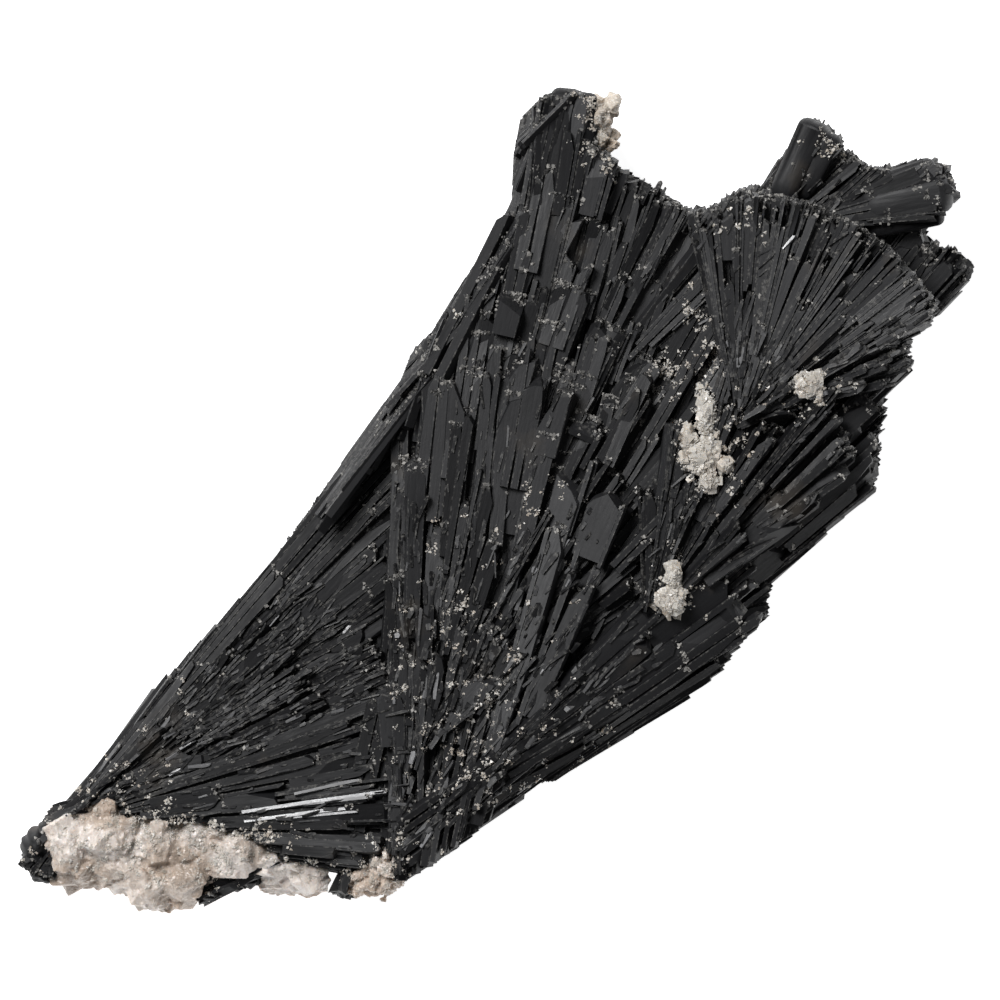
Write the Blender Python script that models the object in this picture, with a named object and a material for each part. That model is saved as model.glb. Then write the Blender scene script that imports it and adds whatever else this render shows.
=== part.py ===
"""Black kyanite: fans of flat black blades grown together, with pale feldspar and quartz on them.

The specimen is laid out on a sheet seen from above: x to the right, y up the sheet, and z up
from the surface it lies on, all in millimetres. Every blade points away from the apex of its
fan, and an azimuth is counted anticlockwise from the sheet's x. One empty turns the sheet so
that the specimen's length lies along the world's X, and it carries every piece.
"""

import math
import random

import bmesh
import bpy
from mathutils import Matrix, Vector

MM = 0.001

# The length, from the pale toe to the farthest blade tip, is 102 mm.
SHEET_TURN_DEG = -38.0
SHEET_CENTRE = (-2.67, -0.48)
POCKET_GAP = 0.4
LEAST_WIDTH = 0.9
LEAST_SHAKE, MOST_SHAKE = 0.84, 1.08

# How far a blade strays from its place in the fan, as a share of the step to the next one.
STRAY = 0.12

# Apexes of the fans. The two great ones, at the toe and the heel, carry the smaller ones.
TOE = (-38.5, -28.5)
HEEL = (-9.8, -33.5)
CREST = (-7.0, -22.0)
KNEE = (12.5, -11.0)
SHOULDER = (20.5, 6.5)
RIDGE = (-5.0, -27.0)

# How far the blades of the two great fans reach, as (azimuth in degrees, reach in mm).
TOE_REACH = [(-12, 28), (-4, 29.5), (8, 30.5), (20, 32), (32, 37), (42, 46), (47, 54), (50, 66), (53, 67)]
HEEL_REACH = [
    (28, 12), (30, 18), (32, 26), (33.5, 33), (35.5, 39), (37.5, 43), (39, 46), (40.5, 53), (42, 58),
    (44.5, 61), (46, 66), (47, 73.5), (49, 75.5), (51, 79), (53.5, 80), (55.5, 77), (58.5, 76.5), (60.5, 77),
    (61.5, 70), (63, 67), (65, 65.5), (69, 66), (72.5, 68), (74, 70.5), (75.5, 72), (78, 72.5), (79.2, 70.5),
    (80.3, 57), (83, 50.5), (86, 45.5), (89, 40.5), (93, 35),
]
LOWER_REACH = [(azimuth, 0.88 * reach) for azimuth, reach in HEEL_REACH]


def reach_at(table, azimuth):
    """The reach at an azimuth, read off a table by straight lines."""
    if azimuth <= table[0][0]:
        return table[0][1]
    for (a0, r0), (a1, r1) in zip(table, table[1:]):
        if azimuth <= a1:
            return r0 + (r1 - r0) * (azimuth - a0) / (a1 - a0)
    return table[-1][1]


def between(ends, share):
    """(at the root, at the tip), a share of the way from a fan's first blade to its last."""
    first, last = [e if isinstance(e, tuple) else (e, e) for e in ends]
    return [a + (b - a) * share for a, b in zip(first, last)]


def blade(bm, apex, azimuth, start, end, widths, floor, top, bank=0.0, skew=(0.0, 0.0)):
    """One flat-faced blade: a box from start to end, in mm from the apex, wider at its end.

    floor and top are its heights at the root and at the tip. bank turns it about its own
    length, and skew moves the two corners of its tip along it, as an oblique break does.
    """
    box = bmesh.ops.create_cube(bm, size=1.0)["verts"]
    for corner in box:
        far, left, high = (c > 0 for c in corner.co)
        along = end + skew[left] if far else start
        across = widths[far] / 2 * (1 if left else -1)
        corner.co = (along, across, (top if high else floor)[far])
    middle = Matrix.Translation((0, 0, (floor[0] + top[0]) / 2))
    banked = middle @ Matrix.Rotation(math.radians(bank), 4, "X") @ middle.inverted()
    turned = Matrix.Rotation(math.radians(azimuth), 4, "Z")
    bmesh.ops.transform(bm, matrix=Matrix.Translation((*apex, 0)) @ turned @ banked, verts=box)


def fan(bm, seed, apex, azimuths, count, reach, floor, top, start=(1.0, 1.0), overlap=1.2, wander=0.5,
        bank=(0.0, 0.0), cut=0.03, skew=1.2):
    """A fan of blades that point away from one apex.

    azimuths holds the first and the last, and reach is one length or a table. floor and top
    hold heights at the first and at the last blade, each one number or (root, tip). start is
    the least and the most distance of a root from the apex, overlap a blade's width over its
    share of the fan, wander how far the heights of neighbours differ, and cut the most of its
    reach that a blade can lose to a break.
    """
    dice = random.Random(seed)
    step = (azimuths[1] - azimuths[0]) / (count - 1)
    spread = math.radians(abs(step)) * overlap
    for i in range(count):
        share = i / (count - 1)
        azimuth = azimuths[0] + step * (i + dice.uniform(-STRAY, STRAY))
        full = reach_at(reach, azimuth) if isinstance(reach, list) else reach
        end = full * (1 - cut * dice.random())
        near = dice.uniform(*start)
        lift = dice.uniform(-wander, wander)
        low = [z - lift / 2 for z in between(floor, share)]
        high = [z + lift for z in between(top, share)]
        widths = [max(LEAST_WIDTH, near * spread), max(LEAST_WIDTH, end * spread)]
        corners = [dice.uniform(-skew, 0.3), dice.uniform(-skew, 0.3)]
        lean = bank[0] + (bank[1] - bank[0]) * share
        blade(bm, apex, azimuth, near, end, widths, low, high, lean, corners)


def toe_fans(bm):
    """The left fan: it spreads from the pale toe, in layers, to the straight left edge."""
    fan(bm, 11, TOE, (-3, 47), 9, TOE_REACH, floor=(2.4, 3.2), top=(7, 6.5), cut=0.1)
    fan(bm, 12, TOE, (-10, 50.3), 15, TOE_REACH, floor=(5.5, (4.5, 4)), top=((10, 11), (9.5, 9)),
        overlap=1.15)
    fan(bm, 13, TOE, (-6, 46), 17, TOE_REACH, floor=(8, 6), top=((11.5, 13.5), (11, 12.5)), start=(3, 10),
        overlap=0.9, wander=0.6, cut=0.2)
    left_shoulder = [(53, 19), (63, 9), (74, 5.4)]
    fan(bm, 14, TOE, (53, 74), 3, left_shoulder, floor=(4.2, 4.4), top=(9.5, 8.5), overlap=1.0, skew=0.5)
    fan(bm, 15, TOE, (200, 230), 3, 5.2, floor=(3.2, 4.4), top=(10.0, 8.5), start=(-3, -3), overlap=1.3,
        cut=0.05, skew=0.5)


def heel_fans(bm):
    """The great fan that spreads from the heel and carries the top ones."""
    fan(bm, 21, HEEL, (38, 85), 11, LOWER_REACH, floor=(1.4, 2.0), top=(6.5, 7))
    fan(bm, 22, HEEL, (33, 88.5), 24, HEEL_REACH, floor=((2.5, 3.5), 4.5), top=((7, 8), 12), cut=0.01,
        skew=0.8)
    fan(bm, 23, HEEL, (40, 88), 18, HEEL_REACH, floor=((7, 8), 9), top=((14, 15.5), (16.5, 15)), cut=0.14)
    fan(bm, 24, HEEL, (98, 160), 4, 7.5, floor=(3.4, 3.8), top=(11, 9.5), start=(0.0, 0.0), overlap=1.1,
        cut=0.2)


def flank_blades(bm):
    """Long smooth blades down the slope at the lower right, each turned to face away."""
    fan(bm, 51, HEEL, (34.8, 41), 5, HEEL_REACH, floor=((6.5, 6.0), (12.5, 13)), top=((9.5, 9.0), (15.5, 16)),
        start=(2, 4), overlap=1.5, wander=0.3, bank=(-52, -24), cut=0.06)


def top_fans(bm):
    """The small fans on top of the great one, which show their flat faces and stepped ends."""
    fan(bm, 31, HEEL, (62, 92), 10, 42, floor=(13, 12), top=((17, 20), (16, 17)), start=(2, 12), overlap=1.0,
        wander=0.6, cut=0.25)
    fan(bm, 32, CREST, (38, 84), 16, 43, floor=(12, 13), top=((17, 18.5), (18.5, 17)), start=(4, 18),
        overlap=0.95, wander=0.8, cut=0.32)
    fan(bm, 33, HEEL, (45, 61), 7, 68, floor=(12, 12), top=((16, 17), (16, 17)), start=(38, 50), overlap=0.9,
        wander=0.7, cut=0.14)
    fan(bm, 34, KNEE, (40, 82), 12, 27, floor=(13, 14), top=((18, 20.5), (18.5, 20)), start=(2, 9),
        overlap=0.95, wander=0.6, cut=0.15)
    fan(bm, 35, SHOULDER, (24, 98), 13, 19.5, floor=(15, 15), top=((20, 21), (20, 21)), start=(1, 4),
        overlap=0.95, cut=0.14)
    fan(bm, 36, RIDGE, (29, 45), 6, 31, floor=(10, 11), top=((15.5, 16), (17.5, 18)), start=(2, 7),
        overlap=1.05, cut=0.25)


def underside_fans(bm):
    """Flat blades below. Four lie on the surface and carry the weight; the rest clear it."""
    fan(bm, 41, TOE, (4, 40), 7, 30, floor=(0.9, 1.2), top=(3.5, 4), start=(6, 12), overlap=0.85, wander=0.3,
        cut=0.3)
    fan(bm, 42, HEEL, (40, 82), 11, LOWER_REACH, floor=(0.9, 1.0), top=(3.5, 4), start=(6, 30), overlap=0.8,
        wander=0.3, cut=0.3)
    foot = {"floor": (0, 0), "top": (4, 4)}
    blade(bm, TOE, 17, 9, 27, widths=(3.6, 5.0), skew=(-1.5, 0), **foot)
    blade(bm, HEEL, 47, 10, 30, widths=(3.6, 6.0), skew=(0, -2), **foot)
    blade(bm, HEEL, 76, 30, 52, widths=(3.6, 5.5), skew=(-1, 0), **foot)
    blade(bm, HEEL, 52, 44, 66, widths=(4.0, 6.5), skew=(-2, 0), **foot)


# Each pale lump of a node is (x, y, z, radius along x, along y, along z).
PALE_LUMPS = {
    "matrix_toe": [
        (-34.8, -31.4, 6.6, 3.9, 2.8, 3.6), (-31.0, -31.2, 7.4, 4.2, 3.4, 4.6),
        (-26.4, -32.4, 7.2, 4.2, 3.2, 4.4), (-22.0, -31.6, 7.0, 3.8, 2.8, 3.6),
        (-30.0, -33.4, 5.4, 3.4, 2.5, 3.0), (-18.4, -32.8, 6.6, 3.0, 1.9, 2.8),
        (-33.0, -29.4, 9.2, 3.0, 1.8, 2.0), (-25.0, -30.0, 9.0, 3.2, 2.0, 1.9),
    ],
    "matrix_heel": [(-11.2, -33.4, 8.0, 2.7, 2.0, 4.2), (-9.8, -32.4, 12.0, 1.8, 1.6, 2.2)],
    "quartz_tip": [(8.4, 34.2, 11.8, 1.5, 1.7, 2.2), (8.6, 31.8, 11.2, 1.2, 1.5, 1.6)],
    "quartz_patch": [
        (17.9, 4.4, 18.6, 1.9, 2.3, 2.0), (18.4, 1.8, 18.2, 1.2, 1.5, 1.6), (17.6, 7.8, 18.2, 1.0, 2.4, 1.6),
    ],
    "quartz_knob": [(14.8, -8.8, 18.2, 1.5, 1.3, 1.6), (15.2, -6.8, 18.0, 0.9, 1.5, 1.2)],
    "quartz_shoulder": [(26.8, 10.2, 20.2, 1.9, 1.4, 1.3)],
}


def pebble(bm, dice, centre, radii, grow):
    """One faceted lump: a sphere of flat faces with its corners shaken in and out."""
    corners = bmesh.ops.create_icosphere(bm, subdivisions=2, radius=1.0)["verts"]
    for corner in corners:
        size = Vector(radii) * dice.uniform(LEAST_SHAKE, MOST_SHAKE) + Vector((grow, grow, grow))
        corner.co = Vector(centre) + corner.co * size


def add_lumps(bm, name, numbers, grow=0.0):
    """Some of one node's lumps, each grown by a margin."""
    for number in numbers:
        lump = PALE_LUMPS[name][number]
        pebble(bm, random.Random(f"{name} {number}"), lump[:3], lump[3:], grow)


def mesh_object(name, bm):
    """A new object on the layout sheet, its mesh turned from millimetres to metres."""
    bmesh.ops.scale(bm, vec=(MM, MM, MM), verts=bm.verts)
    mesh = bpy.data.meshes.new(name)
    bm.to_mesh(mesh)
    bm.free()
    made = bpy.data.objects.new(name, mesh)
    bpy.context.scene.collection.objects.link(made)
    return made


def helper_object(name, bm):
    """An object that only joins or cuts, and isn't a piece of the specimen."""
    helper = mesh_object(name, bm)
    helper.hide_render = True
    helper.display_type = "WIRE"
    return helper


def boolean(made, operation, other):
    """Joins or cuts with shapes that also overlap among themselves."""
    step = made.modifiers.new(operation.lower(), "BOOLEAN")
    step.operation = operation
    step.object = other
    step.use_self = True


def matte(name, colour, roughness):
    """A Principled material of one colour, with no metal in it."""
    made = bpy.data.materials.new(name)
    made.use_nodes = True
    shader = made.node_tree.nodes["Principled BSDF"]
    shader.inputs["Base Color"].default_value = (*colour, 1.0)
    shader.inputs["Roughness"].default_value = roughness
    shader.inputs["Metallic"].default_value = 0.0
    return made


def pocket_cutter():
    """All the pale lumps, a gap larger, as one helper."""
    grown = bmesh.new()
    for name, lumps in PALE_LUMPS.items():
        add_lumps(grown, name, range(len(lumps)), POCKET_GAP)
    return helper_object("pocket_cutter", grown)


def islands(bm):
    """The sets of joined vertices, the smallest first."""
    left = set(bm.verts)
    found = []
    while left:
        front = [left.pop()]
        island = list(front)
        while front:
            for edge in front.pop().link_edges:
                for end in left.intersection(edge.verts):
                    left.remove(end)
                    front.append(end)
                    island.append(end)
        found.append(island)
    return sorted(found, key=len)


def keep_main_body(made):
    """Makes the modifiers real, and drops closed-off gaps and the splinters a pocket cut loose."""
    graph = bpy.context.evaluated_depsgraph_get()
    mesh = bpy.data.meshes.new_from_object(made.evaluated_get(graph))
    made.modifiers.clear()
    made.data = mesh
    bm = bmesh.new()
    bm.from_mesh(mesh)
    for island in islands(bm)[:-1]:
        bmesh.ops.delete(bm, geom=island, context="VERTS")
    bm.to_mesh(mesh)
    bm.free()


def kyanite_fans():
    """All the blades, grown together into one solid, with pockets for the pale lumps."""
    left = bmesh.new()
    toe_fans(left)
    right = bmesh.new()
    for grow in (heel_fans, flank_blades, top_fans, underside_fans):
        grow(right)
    made = mesh_object("kyanite_fans", right)
    boolean(made, "UNION", helper_object("toe_blades", left))
    boolean(made, "DIFFERENCE", pocket_cutter())
    keep_main_body(made)
    made.data.materials.append(matte("black_kyanite", (0.045, 0.045, 0.047), 0.45))


def pale_node(name, material):
    """One mass of pale mineral, its lumps joined."""
    first = bmesh.new()
    add_lumps(first, name, [0])
    made = mesh_object(name, first)
    others = range(1, len(PALE_LUMPS[name]))
    if others:
        more = bmesh.new()
        add_lumps(more, name, others)
        boolean(made, "UNION", helper_object("more_of_" + name, more))
    made.data.materials.append(material)


def main():
    for old in list(bpy.data.objects):
        bpy.data.objects.remove(old)
    kyanite_fans()
    pale = matte("pale_mineral", (0.72, 0.66, 0.58), 0.6)
    for name in PALE_LUMPS:
        pale_node(name, pale)
    sheet = bpy.data.objects.new("layout_sheet", None)
    turn = Matrix.Rotation(math.radians(SHEET_TURN_DEG), 4, "Z")
    sheet.matrix_world = turn @ Matrix.Translation((-SHEET_CENTRE[0] * MM, -SHEET_CENTRE[1] * MM, 0))
    for piece in list(bpy.data.objects):
        if piece != sheet:
            piece.parent = sheet
    bpy.context.scene.collection.objects.link(sheet)


main()
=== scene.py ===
# %% [markdown]
# # Black kyanite, blade by blade
# Black kyanite grows as flat blades that spread from one point, like a hand fan. A specimen is
# several such fans grown through each other, with some pale feldspar and quartz left on them.
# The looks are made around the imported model: it says where everything is, and this script
# makes the thousands of thin blades and pale grains that stand for its plain solids.

# %% Load the frame
import math

import bmesh
import bpy
import numpy as np
from mathutils import Matrix, Vector
from mathutils.bvhtree import BVHTree


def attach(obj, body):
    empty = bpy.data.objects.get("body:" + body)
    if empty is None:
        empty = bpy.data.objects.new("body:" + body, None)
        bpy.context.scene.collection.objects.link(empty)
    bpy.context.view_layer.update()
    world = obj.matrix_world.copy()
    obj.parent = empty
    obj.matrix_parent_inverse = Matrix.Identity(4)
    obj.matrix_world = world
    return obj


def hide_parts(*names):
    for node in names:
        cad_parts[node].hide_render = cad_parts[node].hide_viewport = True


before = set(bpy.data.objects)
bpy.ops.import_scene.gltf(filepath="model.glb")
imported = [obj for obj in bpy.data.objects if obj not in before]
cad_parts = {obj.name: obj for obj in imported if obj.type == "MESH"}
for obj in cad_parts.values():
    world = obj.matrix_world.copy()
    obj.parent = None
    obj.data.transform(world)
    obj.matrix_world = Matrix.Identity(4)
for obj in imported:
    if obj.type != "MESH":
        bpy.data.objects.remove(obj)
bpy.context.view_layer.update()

print("the packed model's nodes:", sorted(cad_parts))

# %% [markdown]
# ## The layout sheet
# The specimen is easiest to describe as it lies on a sheet seen from above: x to the right,
# y up the sheet, z up from the table, all in millimetres. The frame has its length along X, so
# the sheet is turned by a fixed angle about its centre. One function does that for every
# point, at the very end, and until then each piece is made in sheet millimetres.

# %% From the sheet to the frame
MM = 0.001
SHEET_TURN_DEG = -38.0
SHEET_CENTRE = (-2.67, -0.48)


def on_sheet(points):
    """Sheet points in millimetres, as points of the frame in metres."""
    points = np.asarray(points, float).reshape(-1, 3)
    turn = math.radians(SHEET_TURN_DEG)
    x, y = points[:, 0] - SHEET_CENTRE[0], points[:, 1] - SHEET_CENTRE[1]
    turned = (x * math.cos(turn) - y * math.sin(turn), x * math.sin(turn) + y * math.cos(turn),
              points[:, 2])
    return np.stack(turned, axis=1) * MM


# %% [markdown]
# ## The outline, and how far a blade can run in it
# The outer edge of the specimen is not a smooth curve: it is where the blades end. So the
# outline is not drawn as a shape. It is a limit: a blade grows from its middle along its own
# direction, both ways, until it is long enough or reaches the outline. Clipping each blade
# alone, in place of cutting the whole mass with one cutter, keeps every end a real broken end.

# %% The outline
OUTLINE = np.array([
    (-42.4, -31.7), (-39.4, -26.7), (-36.8, -23.2), (-33.3, -19.4), (-26.3, -12.3), (-20.1, -5.3),
    (-14.9, 1.9), (-13.6, 3.9), (-8.8, 10.5), (-7.9, 13.1), (-6.0, 14.9), (-3.9, 18.4), (-0.9, 22.8),
    (0.9, 26.3), (1.1, 30.6), (1.8, 33.7), (3.9, 35.7), (6.1, 36.1), (8.8, 35.4), (9.9, 33.4),
    (9.2, 30.6), (10.1, 29.8), (12.3, 28.4), (14.4, 27.1), (16.6, 25.4), (18.4, 25.6), (20.6, 27.1),
    (23.2, 28.0), (24.9, 30.6), (27.6, 33.5), (29.3, 32.4), (30.2, 31.5), (30.0, 30.6), (31.9, 30.6),
    (31.7, 29.3), (33.7, 29.1), (37.2, 30.0), (39.4, 29.3), (40.3, 26.3), (37.6, 24.1), (37.6, 22.9),
    (40.3, 21.9), (42.2, 20.6), (40.7, 18.8), (38.9, 16.6), (37.2, 15.3), (35.7, 13.6), (36.1, 11.4),
    (34.1, 9.6), (33.5, 6.1), (33.3, 2.6), (32.6, 0.4), (30.2, -1.3), (28.9, -2.6), (26.3, -5.3),
    (24.1, -7.0), (23.6, -8.8), (23.8, -10.1), (21.4, -12.3), (19.3, -15.3), (16.6, -17.5),
    (13.1, -20.1), (9.6, -22.8), (6.1, -24.9), (3.5, -24.9), (0.9, -27.1), (-1.8, -28.9),
    (-3.9, -30.6), (-5.3, -31.5), (-7.9, -33.3), (-9.2, -34.6), (-11.4, -35.0), (-13.6, -35.2),
    (-14.9, -34.6), (-19.3, -34.4), (-20.8, -33.7), (-26.3, -35.9), (-31.5, -35.9), (-32.8, -34.1),
    (-35.9, -33.7), (-39.8, -33.7), (-42.4, -32.4),
])


def room_ahead(x, y, heading, outline=OUTLINE):
    """How far each point can go along its heading (radians) inside an outline; 0 outside it."""
    x, y, heading = np.broadcast_arrays(x, y, heading)
    side = np.roll(outline, -1, axis=0) - outline
    ux, uy = np.cos(heading)[:, None], np.sin(heading)[:, None]
    fx, fy = outline[:, 0] - x[:, None], outline[:, 1] - y[:, None]
    cross = ux * side[:, 1] - uy * side[:, 0]
    cross = np.where(np.abs(cross) < 1e-9, 1e-9, cross)
    ahead = (fx * side[:, 1] - fy * side[:, 0]) / cross
    share = (fx * uy - fy * ux) / cross
    hits = np.where((ahead > 0) & (share >= 0) & (share < 1), ahead, np.inf)
    inside = np.isfinite(hits).sum(axis=1) % 2 == 1
    return np.where(inside, hits.min(axis=1), 0.0)


def moved_in(line, distance):
    """A line of outline points moved to its right, which is inwards on this outline."""
    ahead = np.gradient(line, axis=0)
    ahead /= np.linalg.norm(ahead, axis=1, keepdims=True)
    return line + distance * np.stack((ahead[:, 1], -ahead[:, 0]), axis=1)


LEFT_EDGE = slice(7, 17)
INNER = OUTLINE.copy()
INNER[LEFT_EDGE] = moved_in(OUTLINE[LEFT_EDGE], 1.0)

print("room to the right of the sheet's centre:", room_ahead(np.zeros(1), 0.0, 0.0).round(1), "mm")

# %% [markdown]
# ## The fans
# Every blade of a fan points away from one apex. A fan is described by its apex, its first and
# last azimuth (degrees, anticlockwise from the sheet's x), how far it reaches, and the height
# of its underside and of its top. Heights are given at the root and at the tip of the first
# and of the last blade, and anything between is blended. These are the sizes of the solids.

# %% Fans of the specimen
TOE = (-38.5, -28.5)
HEEL = (-9.8, -33.5)
CREST = (-7.0, -22.0)
KNEE = (12.5, -11.0)
SHOULDER = (20.5, 6.5)
RIDGE = (-5.0, -27.0)
TOE_REACH = [(-12, 28), (-4, 29.5), (8, 30.5), (20, 32), (32, 37), (42, 46), (47, 54), (50, 66), (53, 67)]
BACK = (5.2, 6.1)
LEFT_FINGER = (-1.5, 8.0)
RIGHT_FINGER = (24.0, 23.5)
COLUMN = (-8.3, -48.1)
COLUMN_ENDS = [(66, 50), (68, 54), (70, 60), (72.5, 56), (74, 65), (76, 60), (77.2, 66), (78.6, 62.5),
               (80.5, 62), (82, 60), (83.2, 65), (85.0, 59), (87.3, 59.5), (88.6, 52), (89.6, 42),
               (90.6, 32)]
CREST_ENDS = [(36, 24), (40, 29), (43, 25), (46, 33), (49.5, 36.5), (52, 30), (55, 38), (58.5, 40),
              (61, 33), (64, 41), (67, 36), (70, 43), (73, 37), (76, 41), (79, 34), (82, 30)]
KNEE_ENDS = [(36, 19), (40, 24), (43, 28), (47, 25), (51, 27), (54, 21), (58, 24), (62, 18), (66, 21),
             (70, 16), (75, 18), (80, 13)]
FANS = {
    "toe": {"apex": TOE, "azimuths": (-8, 47), "reach": TOE_REACH,
            "floor": ((1.2, 3.0), (1.4, 3.8)), "top": ((11.3, 13.2), (10.6, 12.2))},
    "toe_edge": {"apex": TOE, "azimuths": (44, 53.6), "reach": TOE_REACH,
                 "floor": ((2.6, 3.8), (3.2, 4.4)), "top": ((10.6, 12.2), (8.6, 8.6))},
    "heel": {"apex": HEEL, "azimuths": (39, 89), "floor": ((1.0, 3.4), (1.4, 4.4)),
             "top": ((15.0, 15.6), (15.8, 14.6))},
    "flank": {"apex": HEEL, "azimuths": (29, 41), "floor": ((2.4, 3.6), (2.6, 4.0)),
              "top": ((6.8, 7.6), (14.2, 16.0))},
    "column": {"apex": COLUMN, "azimuths": (68, 91.4), "reach": COLUMN_ENDS, "floor": ((9, 10), (9, 10)),
               "top": ((16.2, 18.6), (15.0, 16.0))},
    "toe_tip": {"apex": (-36.4, -26.6), "azimuths": (196, 246), "floor": ((4, 4), (4, 4)),
                "top": ((9.8, 8.6), (9.8, 8.2))},
    "chip": {"apex": (-18.9, -31.6), "azimuths": (186, 218), "reach": 8.6, "floor": ((4, 4), (4, 4)),
             "top": ((10.0, 8.6), (9.6, 7.6))},
    "spur": {"apex": (-12.6, -30.2), "azimuths": (244, 266), "reach": 6.0, "floor": ((4, 4), (4, 4)),
             "top": ((12.4, 10.6), (12.4, 10.6))},
    "crest": {"apex": CREST, "azimuths": (36, 84), "reach": CREST_ENDS, "floor": ((10, 12), (10, 12)),
              "top": ((16.8, 18.0), (17.6, 16.8))},
    "back": {"apex": BACK, "azimuths": (34, 64), "floor": ((9, 10), (9, 10)),
             "top": ((15.2, 16.4), (15.6, 15.8))},
    "left_finger": {"apex": LEFT_FINGER, "azimuths": (62, 92), "floor": ((6, 7), (6, 7)),
                    "top": ((15.0, 15.0), (14.4, 13.6))},
    "right_finger": {"apex": RIGHT_FINGER, "azimuths": (4, 40), "floor": ((6, 7), (6, 7)),
                     "top": ((16.2, 16.6), (16.4, 15.4))},
    "far_heel": {"apex": HEEL, "azimuths": (45, 61), "reach": 70.0, "floor": ((10, 10), (10, 10)),
                 "top": ((16.0, 17.0), (16.0, 17.0))},
    "knee": {"apex": KNEE, "azimuths": (36, 82), "reach": KNEE_ENDS, "floor": ((11, 12), (11, 12)),
             "top": ((18.0, 20.3), (18.3, 19.8))},
    "shoulder": {"apex": SHOULDER, "azimuths": (24, 98), "reach": 20.5, "floor": ((13, 13), (13, 13)),
                 "top": ((19.8, 20.8), (19.8, 20.8))},
    "ridge": {"apex": RIDGE, "azimuths": (29, 45), "reach": 33.0, "floor": ((9, 10), (9, 10)),
              "top": ((15.3, 16.0), (17.4, 18.0))},
}


def reach_of(fan, azimuth):
    """How far a fan reaches at each azimuth in degrees, in mm from its apex."""
    reach = fan.get("reach", np.inf)
    if isinstance(reach, list):
        from_azimuth, lengths = np.array(reach).T
        return lengths[np.clip(np.searchsorted(from_azimuth, azimuth) - 1, 0, len(lengths) - 1)]
    return np.minimum(reach, room_ahead(fan["apex"][0], fan["apex"][1], np.radians(azimuth)))


def height_in(fan, level, azimuth, radius):
    """The height at a level of a fan: 0 is its underside and 1 its top."""
    first, last = fan["azimuths"]
    turn = np.clip((azimuth - first) / (last - first), 0, 1)
    out = np.clip(radius / np.maximum(reach_of(fan, azimuth), 1.0), 0, 1)
    low, high = [
        (ends[0][0] + (ends[0][1] - ends[0][0]) * out) * (1 - turn)
        + (ends[1][0] + (ends[1][1] - ends[1][0]) * out) * turn
        for ends in (fan["floor"], fan["top"])
    ]
    return low + (high - low) * level


for fan_name, fan in FANS.items():
    print(fan_name, "reaches", reach_of(fan, np.array(fan["azimuths"], float)).round(1), "mm")

# %% [markdown]
# ## One blade, made by cutting
# A kyanite blade is a plank: long, flat, with its long edges slightly rubbed, and it ends where
# it was broken across. So the template starts as a cube, the bevel operator breaks its upper
# long edges, and planes cut the end off, just as the break did. A template's x from 0 to 1 is
# stretched to the blade's length, while x past 1 is counted in blade widths, so that a broken
# end keeps its shape on blades of every length. A few dozen faces are enough, because there
# are thousands of copies.

# %% Blade templates
def cut_off(bm, point, normal):
    """Cuts everything past a plane away and closes the cut."""
    cut = bmesh.ops.bisect_plane(bm, geom=bm.verts[:] + bm.edges[:] + bm.faces[:], plane_co=point,
                                 plane_no=normal, clear_outer=True)
    rim = [e for e in cut["geom_cut"] if isinstance(e, bmesh.types.BMEdge)]
    bmesh.ops.contextual_create(bm, geom=rim)


def blade_template(breaks, rub=0.03):
    """(points, triangles) of one blade, with its end cut off by the planes in breaks."""
    bm = bmesh.new()
    bmesh.ops.create_cube(bm, size=1.0,
                          matrix=Matrix.Translation((1, 0, 0)) @ Matrix.Diagonal((2, 1, 1, 1)))
    upper = [e for e in bm.edges
             if all(v.co.z > 0 for v in e.verts) and abs(e.verts[0].co.y - e.verts[1].co.y) < 0.5]
    bmesh.ops.bevel(bm, geom=upper, offset=rub, offset_type="OFFSET", segments=1, profile=0.5,
                    affect="EDGES", material=-1)
    bmesh.ops.bisect_plane(bm, geom=bm.verts[:] + bm.edges[:] + bm.faces[:], plane_co=(1, 0, 0),
                           plane_no=(1, 0, 0))
    for point, normal in breaks:
        cut_off(bm, point, normal)
    bmesh.ops.triangulate(bm, faces=bm.faces)
    bmesh.ops.recalc_face_normals(bm, faces=bm.faces)
    points = np.array([v.co[:] for v in bm.verts])
    triangles = np.array([[v.index for v in f.verts] for f in bm.faces])
    bm.free()
    return points, triangles


BLADES = [
    blade_template([((1.15, 0, 0), (1, 0.45, 0.3))]),
    blade_template([((1.2, 0, 0), (1, -0.6, 0.2))]),
    blade_template([((1.25, 0.2, 0), (1, 0.9, 0.2)), ((1.2, -0.2, 0), (1, -0.7, 0.1))]),
    blade_template([((1.1, 0, 0), (1, 0.1, 0.8))]),
    blade_template([((1.3, 0.3, 0), (1, 1.6, 0.1)), ((1.25, 0, 0), (1, 0.1, 0.5)),
                    ((1.2, -0.3, 0), (1, -1.2, 0.2))]),
    blade_template([((1.6, 0, 0), (1, -2.2, 0.2))]),
]
print("triangles in each blade template:", [len(triangles) for points, triangles in BLADES])

# %% [markdown]
# ## Thousands of blades as one mesh
# A separate object for each blade would be slow and hard to handle, so the copies of a
# template are computed together with numpy and go into one mesh. Each point also
# carries what a material can't know by itself: how far it is from the blade's broken end and
# from its long edge, how far across the blade it is, and a tone that is the same all over one
# blade. Those are mesh attributes, and they follow the blade wherever it points.

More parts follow.
